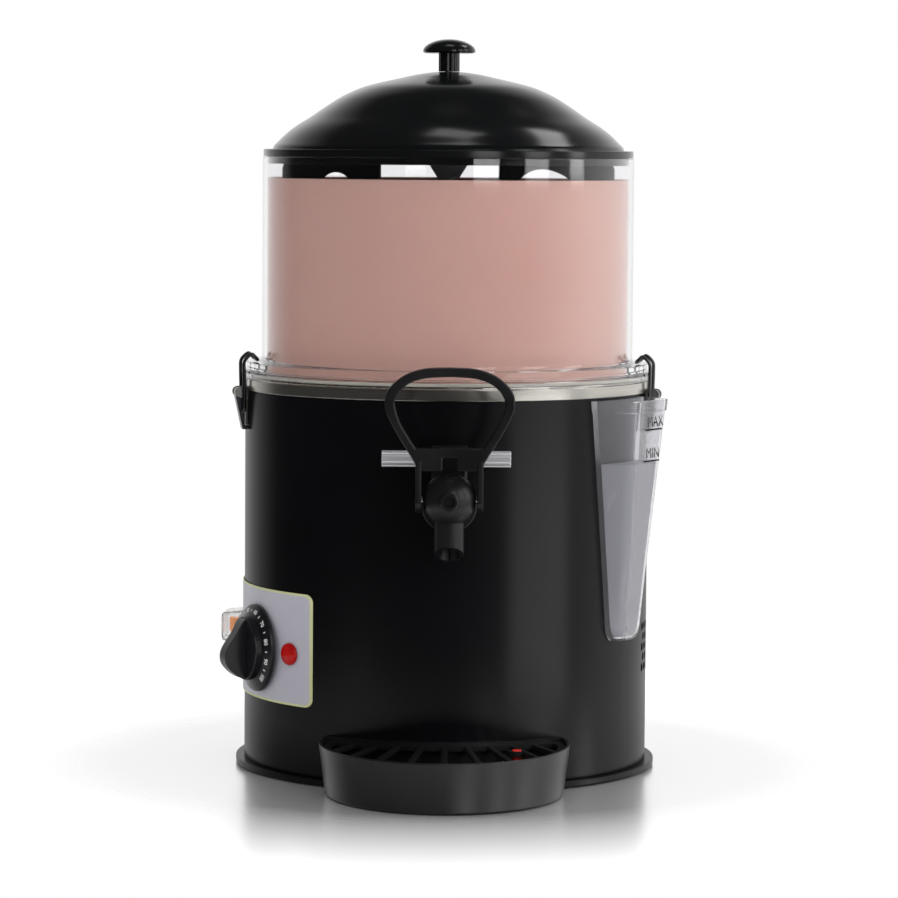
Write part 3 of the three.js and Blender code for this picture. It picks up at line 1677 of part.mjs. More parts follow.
// The lift-out grille: a frame with ribs that fan out from the casing's centre line
const dripGrille = () => {
  const inset = trayWall + runGap;
  const flat = (section, from, to) =>
    loft([section.map(([x, y]) => [x, y, from]), section.map(([x, y]) => [x, y, to])]);
  const plate = cut(
    flat(traySection(grilleBottom, inset), grilleBottom, grilleTop),
    disc(trayBodyClear + trayWall + runGap, 0, trayTop),
  );
  const opening = cut(
    flat(traySection(grilleBottom, inset + grilleFrame), grilleBottom - overrun, grilleTop + overrun),
    disc(trayBodyClear + trayWall + runGap + grilleFrame, 0, trayTop + overrun * 2),
  );
  const ribs = Array.from({ length: grilleRibs }, (_, i) => {
    const angle = (i - (grilleRibs - 1) / 2) * grilleRibAngle;
    const far = trayCentreOut + trayDepth;
    return atAzimuth(
      block(-grilleRib / 2, -far, grilleBottom, grilleRib / 2, -bodyRadius, grilleTop),
      angle,
    );
  });
  const bossRadius = floatPin + runGap + floatBoss;
  const boss = moved(disc(bossRadius, grilleBottom, grilleTop, smallSteps), floatX, floatY, 0);
  const ribbed = shared(join(ribs[0], ...ribs.slice(1), boss), plate);
  const hole = moved(
    disc(floatPin + runGap, grilleBottom - overrun, grilleTop + overrun, smallSteps),
    floatX,
    floatY,
    0,
  );
  return cut(join(cut(plate, opening), ribbed), hole);
};

// The red level pin on its float
const floatPiece = () => {
  const bottom = trayFloor + seat;
  const top = grilleTop + floatRise;
  return moved(
    turned(
      [
        [0, bottom],
        [floatDisc, bottom],
        [floatDisc, bottom + floatDiscHeight],
        [floatPin, bottom + floatDiscHeight],
        [floatPin, top - floatRise],
        [floatPin - floatRise, top],
        [0, top],
      ],
      smallSteps,
    ),
    floatX,
    floatY,
    0,
  );
};

// The cord inlet is a hollow gland in the casing's back
const cordGland = () => {
  const flangeFrom = bodyRadius + seat;
  const flangeTo = flangeFrom + glandFlangeThickness;
  const pipe = turned(
    [
      [glandBore, casingInner - glandTail],
      [glandRadius, casingInner - glandTail],
      [glandRadius, flangeTo],
      [glandRadius, flangeTo + glandNose * glandShoulderShare],
      [glandRadius * glandTipShare, flangeTo + glandNose],
      [glandBore, flangeTo + glandNose],
    ],
    smallSteps,
  );
  const hexagon = ring(glandRadius - seat, glandFlats, flangeFrom, flangeTo, hexSides);
  return moved(facingFront(join(pipe, hexagon)), 0, 0, glandHeight);
};

const terminalBlock = () => {
  const bottom = panFloorBottom + panSheet + seat;
  const half = terminalLength / 2;
  const pitch = terminalLength / terminalWays;
  const screws = Array.from({ length: terminalWays }, (_, i) =>
    moved(
      disc(terminalScrew, bottom + terminalHeight / 2, bottom + terminalHeight + overrun, pinSteps),
      pitch / 2 - half + pitch * i,
      terminalOut,
      0,
    ),
  );
  const box = block(
    -half,
    terminalOut - terminalWidth / 2,
    bottom,
    half,
    terminalOut + terminalWidth / 2,
    bottom + terminalHeight,
  );
  return cut(box, ...screws);
};

// The assembly
const machine = new THREE.Group();

const place = (name, geometry, material, parent = machine) => {
  geometry.computeVertexNormals();
  const mesh = new THREE.Mesh(geometry, material);
  mesh.name = name;
  parent.add(mesh);
  return mesh;
};

const group = (azimuth, x = 0) => {
  const made = new THREE.Group();
  made.rotation.z = azimuth;
  made.position.x = x;
  machine.add(made);
  return made;
};

place("base_pan", basePan(), blackPaint);
[
  ["foot_front_left", -footAzimuth],
  ["foot_front_right", footAzimuth],
  ["foot_rear_right", Math.PI - footAzimuth],
  ["foot_rear_left", footAzimuth - Math.PI],
].forEach(([name, azimuth]) => {
  const pad = place(name, foot(), rubber);
  pad.position.set(footCircle * Math.sin(azimuth), -footCircle * Math.cos(azimuth), 0);
});
place("casing", casing(), blackPaint);
place("bath_rim", bathRim(), steel);
place("bath_tank", bathTank(), steel);
place("product_pot", productPot(), steel);
place("bath_heater", bathHeater(), steel);
place("pot_gasket", potGasket(), silicone);
place("bowl", bowl(), clearPlastic);
place("lid", lid(), glossBlack);
place("lid_knob", lidKnob(), glossBlack);
place("lid_knob_screw", lidKnobScrew(), steel);

place("motor_bracket", motorBracket(), steel);
place("gearmotor", gearmotor(), motorGrey);
place("gearbox", gearbox(), motorGrey);
place("drive_shaft", driveShaft(), steel);
place("shaft_seal", shaftSeal(), silicone);
place("stirrer", stirrer(), mattBlack);
place("stirrer_cone_nut", stirrerCone(), greyPlastic);

const tap = group(0, tapX);
place("tap_body", tapBody(), mattBlack, tap);
place("tap_gasket", tapGasket(), silicone, tap);
place("tap_nut", tapNut(), steel, tap);
place("tap_cap", tapCap(), mattBlack, tap);
place("tap_plunger", plunger(), whitePlastic, tap);
place("tap_plunger_seal", plungerSeal(), silicone, tap);
place("tap_spring", plungerSpring(), steel, tap);
place("tap_cam_shaft", camShaft(), steel, tap);
place("tap_handle", tapHandle(), mattBlack, tap);
place("tap_retainer_bar", retainerBar(), chrome);

[
  ["left", -latchAzimuth],
  ["right", latchAzimuth],
].forEach(([side, azimuth]) => {
  const latch = group(azimuth);
  place("latch_bracket_" + side, latchBracket(), steel, latch);
  place("latch_lever_" + side, latchLever(), darkSteel, latch);
  place("latch_bail_" + side, latchBail(), darkSteel, latch);
});

place("control_plate", controlPlate(), plateGrey);
const dial = group(knobAzimuth);
place("thermostat_knob", thermostatKnob(), mattBlack, dial);
place("thermostat_stem", thermostatStem(), steel, dial);
place("thermostat_body", thermostatBody(), mattBlack, dial);
const lamp = group(lampAzimuth);
place("pilot_lamp_lens", lampLens(), red, lamp);
place("pilot_lamp_holder", lampHolder(), whitePlastic, lamp);
const powerSwitch = group(switchAzimuth);
place("switch_housing", switchHousing(), whitePlastic, powerSwitch);
place("switch_rocker", switchRocker(), orange, powerSwitch);
place("switch_cover", switchCover(), milkPlastic, powerSwitch);

const reservoir = group(cupAzimuth);
place("reservoir_cup", reservoirCup(), milkPlastic, reservoir);
place("reservoir_fitting", reservoirFitting(), whitePlastic, reservoir);

place("drip_tray", dripTray(), mattBlack);
place("drip_grille", dripGrille(), mattBlack);
place("drip_float", floatPiece(), red);

const rear = group(Math.PI);
place("cord_gland", cordGland(), rubber, rear);
place("terminal_block", terminalBlock(), whitePlastic);

export default machine;
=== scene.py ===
import math

import bpy
from mathutils import Matrix, Vector

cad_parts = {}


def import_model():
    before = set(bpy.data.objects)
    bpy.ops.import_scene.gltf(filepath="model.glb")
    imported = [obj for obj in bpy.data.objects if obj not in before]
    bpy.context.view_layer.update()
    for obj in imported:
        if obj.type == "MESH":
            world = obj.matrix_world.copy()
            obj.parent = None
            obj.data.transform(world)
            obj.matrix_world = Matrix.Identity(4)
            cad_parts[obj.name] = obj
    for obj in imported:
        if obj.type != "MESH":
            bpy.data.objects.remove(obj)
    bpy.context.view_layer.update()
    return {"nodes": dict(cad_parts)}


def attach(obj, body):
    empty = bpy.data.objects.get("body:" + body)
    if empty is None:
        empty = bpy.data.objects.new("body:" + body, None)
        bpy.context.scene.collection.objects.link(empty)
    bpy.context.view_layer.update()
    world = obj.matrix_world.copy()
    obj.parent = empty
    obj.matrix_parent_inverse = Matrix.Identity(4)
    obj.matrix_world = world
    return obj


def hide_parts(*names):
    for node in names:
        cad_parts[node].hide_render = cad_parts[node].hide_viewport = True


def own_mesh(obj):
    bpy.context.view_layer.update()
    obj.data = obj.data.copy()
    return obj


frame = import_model()
nodes = frame["nodes"]
# Lengths below are in mm, and profiles are pairs of radius and height
MM = 0.001
TURN = 2 * math.pi
WELD = 2e-6


# Drawing and editing


def clear_selection():
    bpy.ops.object.select_all(action="DESELECT")


def edit():
    bpy.ops.object.mode_set(mode="EDIT")


def leave():
    bpy.ops.object.mode_set(mode="OBJECT")


def pick(*pieces):
    clear_selection()
    for piece in pieces:
        piece.select_set(True)
    bpy.context.view_layer.objects.active = pieces[0]
    return pieces[0]


def drawn_line(points):
    """A chain of edges through points in mm, left in edit mode with its last point selected"""
    clear_selection()
    bpy.ops.mesh.primitive_plane_add(size=MM, location=(0, 0, 0))
    piece = bpy.context.active_object
    edit()
    bpy.ops.mesh.merge(type="CENTER")
    bpy.ops.transform.translate(value=Vector(points[0]) * MM)
    for a, b in zip(points, points[1:]):
        step = (Vector(b) - Vector(a)) * MM
        bpy.ops.mesh.extrude_region_move(TRANSFORM_OT_translate={"value": step})
    return piece


def weld():
    bpy.ops.mesh.select_all(action="SELECT")
    bpy.ops.mesh.remove_doubles(threshold=WELD)


def tidy_mesh():
    weld()
    bpy.ops.mesh.normals_make_consistent(inside=False)


def turned(profile, steps):
    """A body of revolution about Z; the profile of (radius, height) meets the axis or itself"""
    points = [(r, 0, z) for r, z in profile]
    if profile[0][0] or profile[-1][0]:
        points.append(points[0])
    piece = drawn_line(points)
    weld()
    bpy.ops.mesh.spin(steps=steps, angle=TURN, center=(0, 0, 0), axis=(0, 0, 1))
    tidy_mesh()
    leave()
    return piece


def plate(outline, thickness, axis="y"):
    """An outline, drawn in (x, z) or (x, y), with its thickness centred along Y or Z"""
    half = thickness / 2
    lift = (lambda u, v: (u, -half, v)) if axis == "y" else (lambda u, v: (u, v, -half))
    piece = drawn_line([lift(u, v) for u, v in [*outline, outline[0]]])
    weld()
    bpy.ops.mesh.edge_face_add()
    along = (0, thickness * MM, 0) if axis == "y" else (0, 0, thickness * MM)
    bpy.ops.mesh.extrude_region_move(TRANSFORM_OT_translate={"value": along})
    tidy_mesh()
    leave()
    return piece


def side_plate(outline, thickness):
    """An outline drawn in (outwards, up), with its thickness across"""
    piece = plate(outline, thickness)
    return placed(piece, Matrix.Rotation(-math.pi / 2, 4, "Z"))


def wire(points, radius, sides):
    piece = drawn_line(points)
    leave()
    pick(piece)
    bpy.ops.object.convert(target="CURVE")
    piece = bpy.context.active_object
    piece.data.bevel_depth = radius * MM
    piece.data.bevel_resolution = sides
    piece.data.use_fill_caps = True
    bpy.ops.object.convert(target="MESH")
    piece = bpy.context.active_object
    edit()
    tidy_mesh()
    leave()
    return piece


def block(low, high):
    clear_selection()
    middle = [(a + b) / 2 * MM for a, b in zip(low, high)]
    bpy.ops.mesh.primitive_cube_add(size=1, location=(0, 0, 0))
    piece = bpy.context.active_object
    edit()
    bpy.ops.transform.resize(value=[(b - a) * MM for a, b in zip(low, high)])
    bpy.ops.transform.translate(value=middle)
    leave()
    return piece


def rod(radius, start, end, steps=32):
    return turned([(0, start), (radius, start), (radius, end), (0, end)], steps)


def ball(radius):
    clear_selection()
    bpy.ops.mesh.primitive_uv_sphere_add(
        segments=48, ring_count=24, radius=radius * MM, location=(0, 0, 0)
    )
    return bpy.context.active_object


def placed(piece, matrix):
    pick(piece)
    piece.matrix_world = matrix
    bpy.ops.object.transform_apply(location=True, rotation=True, scale=True)
    return piece


def moved(piece, x, y, z):
    return placed(piece, Matrix.Translation(Vector((x, y, z)) * MM))


OUTWARDS = Matrix.Rotation(math.pi / 2, 4, "X")
ACROSS = Matrix.Rotation(math.pi / 2, 4, "Y")


def at_azimuth(piece, degrees, x=0.0):
    turn = Matrix.Rotation(math.radians(degrees), 4, "Z")
    return placed(piece, Matrix.Translation((x * MM, 0, 0)) @ turn)


def spigot(radius, start, end, up, steps=32):
    """A rod that lies outwards over the front at a height"""
    return moved(placed(rod(radius, start, end, steps), OUTWARDS), 0, 0, up)


def port(radius, up, azimuth, x=0.0, steps=32):
    """A cutter for a round hole through the casing's wall"""
    return at_azimuth(spigot(radius, 120, 136, up, steps), azimuth, x)


def crossbar(radius, half, out, up, steps):
    """A rod that lies across over the front"""
    return moved(placed(rod(radius, -half, half, steps), ACROSS), 0, -out, up)


def switch_slot():
    return at_azimuth(block((-12.8, -136, 78.95), (12.8, -120, 94.05)), SWITCH)


def combine(piece, other, operation):
    pick(piece)
    tool = piece.modifiers.new("joinery", "BOOLEAN")
    tool.operation = operation
    tool.solver = "EXACT"
    tool.object = other
    bpy.ops.object.modifier_apply(modifier=tool.name)
    bpy.data.objects.remove(other)
    return piece


def united(piece, *others):
    for other in others:
        combine(piece, other, "UNION")
    return piece


def cut(piece, *others):
    for other in others:
        combine(piece, other, "DIFFERENCE")
    return piece


def gathered(*pieces):
    """Several loose parts as one mesh"""
    pick(*pieces)
    if len(pieces) > 1:
        bpy.ops.object.join()
    return bpy.context.active_object


def copied(piece):
    pick(piece)
    bpy.ops.object.duplicate()
    return bpy.context.active_object


def lofted(sections):
    """A skin over sections of equal point count: each is drawn, then bridged to the next"""
    rings = []
    for section in sections:
        ring = drawn_line([*section, section[0]])
        weld()
        leave()
        rings.append(ring)
    caps = []
    for ring in (rings[0], rings[-1]):
        cap = copied(ring)
        edit()
        bpy.ops.mesh.select_all(action="SELECT")
        bpy.ops.mesh.edge_face_add()
        leave()
        caps.append(cap)
    walls = []
    for low, high in zip(rings, rings[1:]):
        wall = gathered(copied(low), copied(high))
        edit()
        bpy.ops.mesh.select_all(action="SELECT")
        bpy.ops.mesh.bridge_edge_loops()
        leave()
        walls.append(wall)
    for ring in rings:
        bpy.data.objects.remove(ring)
    skin = gathered(*caps, *walls)
    edit()
    tidy_mesh()
    leave()
    return skin


def boxed(levels, corner):
    """A rounded box over levels of (height, half width, half depth)"""
    return lofted(
        [[(u, v, up) for u, v in rounded_rectangle(w, h, corner)] for up, w, h in levels]
    )


def written(text, size):
    """Raised letters 0.1 mm deep, centred on the origin"""
    clear_selection()
    bpy.ops.object.text_add(location=(0, 0, 0))
    words = bpy.context.active_object
    words.data.body = text
    words.data.size = size * MM
    words.data.align_x = "CENTER"
    words.data.align_y = "CENTER"
    words.data.extrude = 0.05 * MM
    bpy.ops.object.convert(target="MESH")
    return bpy.context.active_object


def bevelled(piece, width, segments=2, angle=30):
    pick(piece)
    edge = piece.modifiers.new("edge", "BEVEL")
    edge.limit_method = "ANGLE"
    edge.angle_limit = math.radians(angle)
    edge.width = width * MM
    edge.segments = segments
    edge.use_clamp_overlap = True
    bpy.ops.object.modifier_apply(modifier=edge.name)
    return piece


def smooth_line(points, steps):
    """Even points on a curve through the given points"""
    ends = [points[0], *points, points[-1]]
    line = []
    for i in range(len(points) - 1):
        a, b, c, d = (Vector(p) for p in ends[i : i + 4])
        for k in range(steps):
            t = k / steps
            line.append(
                0.5
                * (
                    2 * b
                    + (c - a) * t
                    + (2 * a - 5 * b + 4 * c - d) * t**2
                    + (3 * b - a - 3 * c + d) * t**3
                )
            )
    line.append(Vector(points[-1]))
    return [tuple(p) for p in line]


def arc(x, y, radius, start, end, steps):
    """Points from the start angle to the end angle, in degrees"""
    angles = [math.radians(start + (end - start) * i / steps) for i in range(steps + 1)]
    return [(x + radius * math.cos(a), y + radius * math.sin(a)) for a in angles]


def rounded_rectangle(half_width, half_height, corner, steps=6):
    points = []
    for sx, sz, start in ((1, -1, -90), (1, 1, 0), (-1, 1, 90), (-1, -1, 180)):
        x, z = sx * (half_width - corner), sz * (half_height - corner)
        points += arc(x, z, corner, start, start + 90, steps)
    return points


def fluted(radius, depth, count):
    """A circle with grooves along it, six points to each"""
    points = []
    for i in range(count * 6):
        angle = TURN * i / (count * 6)
        dip = depth * (0.5 - 0.5 * math.cos(count * angle)) ** 3
        points.append(((radius - dip) * math.cos(angle), (radius - dip) * math.sin(angle)))
    return points


def finished(piece, name, body, material, replaces=(), angle=32):
    pick(piece)
    piece.name = name
    piece.data.name = name
    bpy.ops.object.shade_smooth_by_angle(angle=math.radians(angle))
    flat = piece.modifiers.new("flat_faces", "WEIGHTED_NORMAL")
    flat.keep_sharp = True
    bpy.ops.object.modifier_apply(modifier=flat.name)
    piece.data.materials.clear()
    piece.data.materials.append(material)
    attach(piece, body)
    if replaces:
        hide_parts(*replaces)
    return piece


# Node groups that several finishes share


def new_group(name, *extra):
    """A group with the inputs that both have, extra ones as (label, kind), and three outputs"""
    tree = bpy.data.node_groups.new(name, "ShaderNodeTree")
    colour, number = "NodeSocketColor", "NodeSocketFloat"
    for label, kind in (
        ("Colour", colour), ("Second Colour", colour), ("Roughness", number),
        ("Roughness Spread", number), *extra,
    ):
        tree.interface.new_socket(label, in_out="INPUT", socket_type=kind)
    for label, kind in (("Colour", colour), ("Roughness", number), ("Height", number)):
        tree.interface.new_socket(label, in_out="OUTPUT", socket_type=kind)
    return tree, tree.nodes.new("NodeGroupInput"), tree.nodes.new("NodeGroupOutput")


def node(tree, kind, **settings):
    """A node: in_N sets its input N, a capitalised name that input, any other a property"""
    made = tree.nodes.new(kind)
    for key, value in settings.items():
        if key.startswith("in_"):
            made.inputs[int(key[3:])].default_value = value
        elif key[0].isupper():
            made.inputs[key.replace("_", " ")].default_value = value
        else:
            setattr(made, key, value)
    return made


def joined(tree, operation, first, second, **more):
    """The result of a Math node on two sockets"""
    made = node(tree, "ShaderNodeMath", operation=operation, **more)
    tree.links.new(first, made.inputs[0])
    tree.links.new(second, made.inputs[1])
    return made.outputs[0]


def worn(tree, inlet, outlet, mask, wear, relief):
    """Blends the colours by a mask, spreads the roughness by the wear, passes on the relief"""
    link = tree.links.new
    blend = node(tree, "ShaderNodeMix", data_type="RGBA")
    spread = joined(tree, "MULTIPLY", wear, inlet.outputs["Roughness Spread"])
    rough = joined(tree, "ADD", spread, inlet.outputs["Roughness"], use_clamp=True)
    link(mask, blend.inputs["Factor"])
    link(inlet.outputs["Colour"], blend.inputs[6])
    link(inlet.outputs["Second Colour"], blend.inputs[7])
    link(blend.outputs[2], outlet.inputs["Colour"])
    link(rough, outlet.inputs["Roughness"])
    link(relief, outlet.inputs["Height"])


def moulded_surface():
    """Fine grain over slow mottling"""
    number = "NodeSocketFloat"
    tree, inlet, outlet = new_group(
        "moulded_surface", ("Mottle Scale", number), ("Grain Scale", number)
    )
    link = tree.links.new
    place = node(tree, "ShaderNodeTexCoord")
    mottle = node(tree, "ShaderNodeTexNoise", Detail=4.0, Roughness=0.6)
    grain = node(tree, "ShaderNodeTexNoise", Detail=3.0, Roughness=0.55)
    spread = node(tree, "ShaderNodeMapRange", From_Min=0.35, From_Max=0.65)
    centred = node(tree, "ShaderNodeMath", operation="SUBTRACT", in_1=0.5)
    for texture, scale in ((mottle, "Mottle Scale"), (grain, "Grain Scale")):
        link(place.outputs["Object"], texture.inputs["Vector"])
        link(inlet.outputs[scale], texture.inputs["Scale"])
    link(mottle.outputs[0], spread.inputs[0])
    link(spread.outputs[0], centred.inputs[0])
    worn(tree, inlet, outlet, spread.outputs[0], centred.outputs[0], grain.outputs[0])
    return tree


def brushed_surface():
    """Long fine scratches, stretched by the Stretch vector"""
    tree, inlet, outlet = new_group("brushed_surface", ("Stretch", "NodeSocketVector"))
    link = tree.links.new
    place = node(tree, "ShaderNodeTexCoord")
    stretch = node(tree, "ShaderNodeVectorMath", operation="MULTIPLY")
    lines = node(tree, "ShaderNodeTexNoise", Scale=1.0, Detail=5.0, Roughness=0.65)
    cloud = node(tree, "ShaderNodeTexNoise", Scale=22.0, Detail=2.0)
    link(place.outputs["Object"], stretch.inputs[0])
    link(inlet.outputs["Stretch"], stretch.inputs[1])
    link(stretch.outputs[0], lines.inputs["Vector"])
    link(place.outputs["Object"], cloud.inputs["Vector"])
    both = joined(tree, "MULTIPLY", lines.outputs[0], cloud.outputs[0])
    worn(tree, inlet, outlet, lines.outputs[0], both, lines.outputs[0])
    return tree


MOULDED = moulded_surface()
BRUSHED = brushed_surface()


def coloured(code):
    """A written #rrggbb colour as the shader's linear values"""
    parts = [int(code[i : i + 2], 16) / 255 for i in (1, 3, 5)]
    linear = [c / 12.92 if c <= 0.04045 else ((c + 0.055) / 1.055) ** 2.4 for c in parts]
    return (*linear, 1.0)


def surface(name, group, values, bump, depth, **settings):
    """A Principled material driven by one of the shared groups, with relief of a depth in mm"""
    material = bpy.data.materials.new(name)
    material.use_nodes = True
    tree = material.node_tree
    shader = tree.nodes["Principled BSDF"]
    looks = tree.nodes.new("ShaderNodeGroup")
    looks.node_tree = group
    for label, value in values.items():
        looks.inputs[label].default_value = value
    relief = node(tree, "ShaderNodeBump", Strength=bump, Distance=depth * MM)
    tree.links.new(looks.outputs["Height"], relief.inputs["Height"])
    tree.links.new(relief.outputs[0], shader.inputs["Normal"])
    tree.links.new(looks.outputs["Colour"], shader.inputs["Base Color"])
    tree.links.new(looks.outputs["Roughness"], shader.inputs["Roughness"])
    for label, value in settings.items():
        shader.inputs[label.replace("_", " ")].default_value = value
    return material


def moulding(name, colour, second, rough, spread, mottle, grain, bump, depth, **more):
    values = {
        "Colour": coloured(colour),
        "Second Colour": coloured(second),
        "Roughness": rough,
        "Roughness Spread": spread,
        "Mottle Scale": mottle,
        "Grain Scale": grain,
    }
    return surface(name, MOULDED, values, bump, depth, **more)


def brushing(name, colour, second, rough, spread, stretch, bump=0.1, metal=1.0):
    values = {
        "Colour": coloured(colour),
        "Second Colour": coloured(second),
        "Roughness": rough,
        "Roughness Spread": spread,
        "Stretch": stretch,
    }
    return surface(name, BRUSHED, values, bump, 0.05, Metallic=metal)


# Name, two colours, roughness and its spread, then for mouldings the scales of the mottling
# and of the grain, the bump's strength and its depth, and for metals the stretch

black_enamel = moulding(
    "black_enamel", "#050507", "#08080b", 0.5, 0.06, 7, 420, 0.1, 0.12,
    Specular_IOR_Level=0.0, Coat_Weight=0.5, Coat_Roughness=0.24,
)
gloss_black = moulding(
    "gloss_black", "#08090a", "#0d0e0f", 0.17, 0.05, 10, 300, 0.03, 0.05, Specular_IOR_Level=0.3
)
satin_black = moulding(
    "satin_black", "#0c0c0e", "#131315", 0.36, 0.1, 18, 1200, 0.18, 0.08, Specular_IOR_Level=0.3
)
paddle_black = moulding(
    "paddle_black", "#0a0a0b", "#101012", 0.36, 0.08, 14, 900, 0.12, 0.08, Specular_IOR_Level=0.3
)
tray_black = moulding(
    "tray_black", "#0b0b0d", "#121215", 0.34, 0.08, 14, 1100, 0.18, 0.08, Specular_IOR_Level=0.45
)
dial_black = moulding(
    "dial_black", "#0f0f12", "#17171b", 0.3, 0.08, 30, 1500, 0.15, 0.06, Specular_IOR_Level=0.4
)
soft_rubber = moulding("soft_rubber", "#1d1d1e", "#292929", 0.8, 0.1, 60, 1500, 0.35, 0.1)
white_moulding = moulding("white_moulding", "#dddcd6", "#cfcdc6", 0.45, 0.1, 24, 1000, 0.1, 0.06)
grey_moulding = moulding("grey_moulding", "#8b8f94", "#797d82", 0.4, 0.1, 30, 1000, 0.1, 0.06)
seal_silicone = moulding(
    "seal_silicone", "#d5d0c6", "#c6c0b4", 0.55, 0.1, 40, 900, 0.1, 0.06, Subsurface_Weight=0.1
)
plate_silver = moulding("plate_silver", "#a9a8b1", "#9f9ea8", 0.42, 0.08, 16, 800, 0.06, 0.05)
plate_border = moulding("plate_border", "#b9bb8e", "#adaf82", 0.45, 0.08, 20, 800, 0.06, 0.05)
mark_white = moulding("mark_white", "#e4e4e4", "#d2d2d2", 0.5, 0.1, 60, 1200, 0.1, 0.05)
mark_black = moulding(
    "mark_black", "#0d0d0e", "#151516", 0.6, 0.1, 60, 1200, 0.1, 0.05, Specular_IOR_Level=0.0
)
lamp_red = moulding(
    "lamp_red", "#820302", "#9a0704", 0.22, 0.05, 90, 500, 0.05, 0.05,
    Specular_IOR_Level=0.3, Emission_Color=coloured("#e01008"), Emission_Strength=0.05,
)
pin_red = moulding("pin_red", "#a81a12", "#c02318", 0.35, 0.08, 60, 900, 0.1, 0.05)
rocker_orange = moulding(
    "rocker_orange", "#e58a14", "#f09a2a", 0.25, 0.06, 60, 700, 0.06, 0.05,
    Coat_Weight=0.4, Emission_Color=coloured("#ff8a10"), Emission_Strength=0.3,
)
motor_paint = moulding("motor_paint", "#6c6f73", "#5d6064", 0.45, 0.12, 25, 500, 0.25, 0.15)
drink_brown = moulding(
    "drink_brown", "#dbaea2", "#e0b6ab", 0.5, 0.08, 6, 160, 0.03, 0.05,
    Specular_IOR_Level=0.0, Subsurface_Weight=0.08,
)
rim_steel = brushing("rim_steel", "#aeaca4", "#cbc8c0", 0.18, 0.2, (6, 6, 1400))
turned_steel = brushing("turned_steel", "#b4b2ac", "#c9c7c1", 0.22, 0.2, (300, 300, 900))
satin_bar = brushing("satin_bar", "#d0d0d4", "#eaeaee", 0.12, 0.1, (12, 900, 900), 0.08, 0.65)
spring_steel = brushing("spring_steel", "#46474a", "#5a5b5e", 0.28, 0.2, (500, 500, 500))
bracket_steel = brushing("bracket_steel", "#9d9c98", "#b5b4b0", 0.25, 0.2, (60, 60, 900))


def clear_material(name, tint, rough, spread, ior, transmission, grain=300, bump=0.02):
    return moulding(
        name, tint, tint, rough, spread, 14, grain, bump, 0.05,
        IOR=ior, Transmission_Weight=transmission,
    )


clear_bowl = clear_material("clear_bowl", "#fbfbfc", 0.03, 0.02, 1.46, 1.0)
frosted_cup = clear_material("frosted_cup", "#e6e6e9", 0.12, 0.06, 1.35, 0.95, 700, 0.05)
bath_water = clear_material("bath_water", "#cfced4", 0.4, 0.06, 1.2, 0.5, 500, 0.05)
hood_clear = clear_material("hood_clear", "#f4f5f5", 0.12, 0.05, 1.3, 0.9, 400, 0.05)


# Sizes and places that follow the frame. _UP is a height and _OUT a distance from the axis.
# LATCH, CUP, DIAL, LAMP and SWITCH are azimuths in degrees, from the front to the right.

BODY = 130.0
FOOT_CIRCLE = 106
LID_WALL = 2.5
GLAND_UP = 24
OUTLET_UP = 179
TAP_X = 2.0
TAP_OUT = 165.0
TAP_UP = 185.0
TAP_BALL = 16.3
BAR_OUT, BAR_UP = 137.2, 207.6
LATCH = 79.0
HINGE_OUT, HINGE_UP = 135.6, 241
EYE_OUT, EYE_UP = 132.95, 229
CUP = 57.8
CUP_BOLT_UP = 108
CUP_FOOT, CUP_TOP = 88.5, 240.7
CUP_HEIGHT = CUP_TOP - CUP_FOOT
CUP_OUT, CUP_FLARE = 139, 13.6
CUP_WALL = 2
DIAL = -64.5
LAMP = -47.7
SWITCH = -95.0
CONTROL_UP = 80.4
SWITCH_UP = 86.5
ROCKER_OUT, ROCKER_LEAN = 128, 12
DIAL_BACK = 131.6
PLATE_FACE = 131.1
PLATE_ENDS = (-110, -39.5)
PLATE_UP, PLATE_HALF = 83.5, 35.5
PLATE_BORDER = 1.4
TRAY_HEIGHT = 32
TRAY_Y = -131
FLOAT_X, FLOAT_Y = 44.4, -150


def base_and_casing():
    pan = turned(
        [
            (0, 2), (124, 2), (125.5, 3.3), (133.9, 3.3), (133.9, 1.2), (135.4, 1.2),
            (135.4, 4.8), (128.5, 4.8), (128.5, 13.8), (127, 13.8), (127, 4.8), (124, 3.5),
            (0, 3.5),
        ],
        128,
    )
    bevelled(pan, 0.55, 3)
    finished(pan, "pan_rolled", "machine", black_enamel, ["base_pan"])
    for side, azimuth in (
        ("front_left", -45), ("front_right", 45), ("rear_right", 135), ("rear_left", -135),
    ):
        angle = math.radians(azimuth)
        foot = bevelled(rod(12, 0, 1.7, 32), 0.4, 2)
        moved(foot, FOOT_CIRCLE * math.sin(angle), -FOOT_CIRCLE * math.cos(angle), 0)
        name = "foot_" + side
        finished(foot, "foot_pad_" + side, "machine", soft_rubber, [name])
    casing = turned([(128.8, 5.1), (130, 5.1), (130, 242), (128.8, 242)], 144)
    holes = []
    for row in range(5):
        for column in range(5):
            angle = 76 + math.degrees(7.6 / BODY * (column + (row % 2) / 2))
            holes.append(port(2.8, 66 + 6.6 * row, angle, steps=20))
    for radius, up, azimuth, x in (
        (11.8, OUTLET_UP, 0, TAP_X), (5.3, CUP_BOLT_UP, CUP, 0), (8.3, GLAND_UP, 180, 0),
        (3.3, CONTROL_UP, DIAL, 0), (5.5, CONTROL_UP, LAMP, 0),
    ):
        holes.append(port(radius, up, azimuth, x))
    cut(casing, gathered(*holes, switch_slot()))
    finished(casing, "casing_shell", "machine", black_enamel, ["casing"])


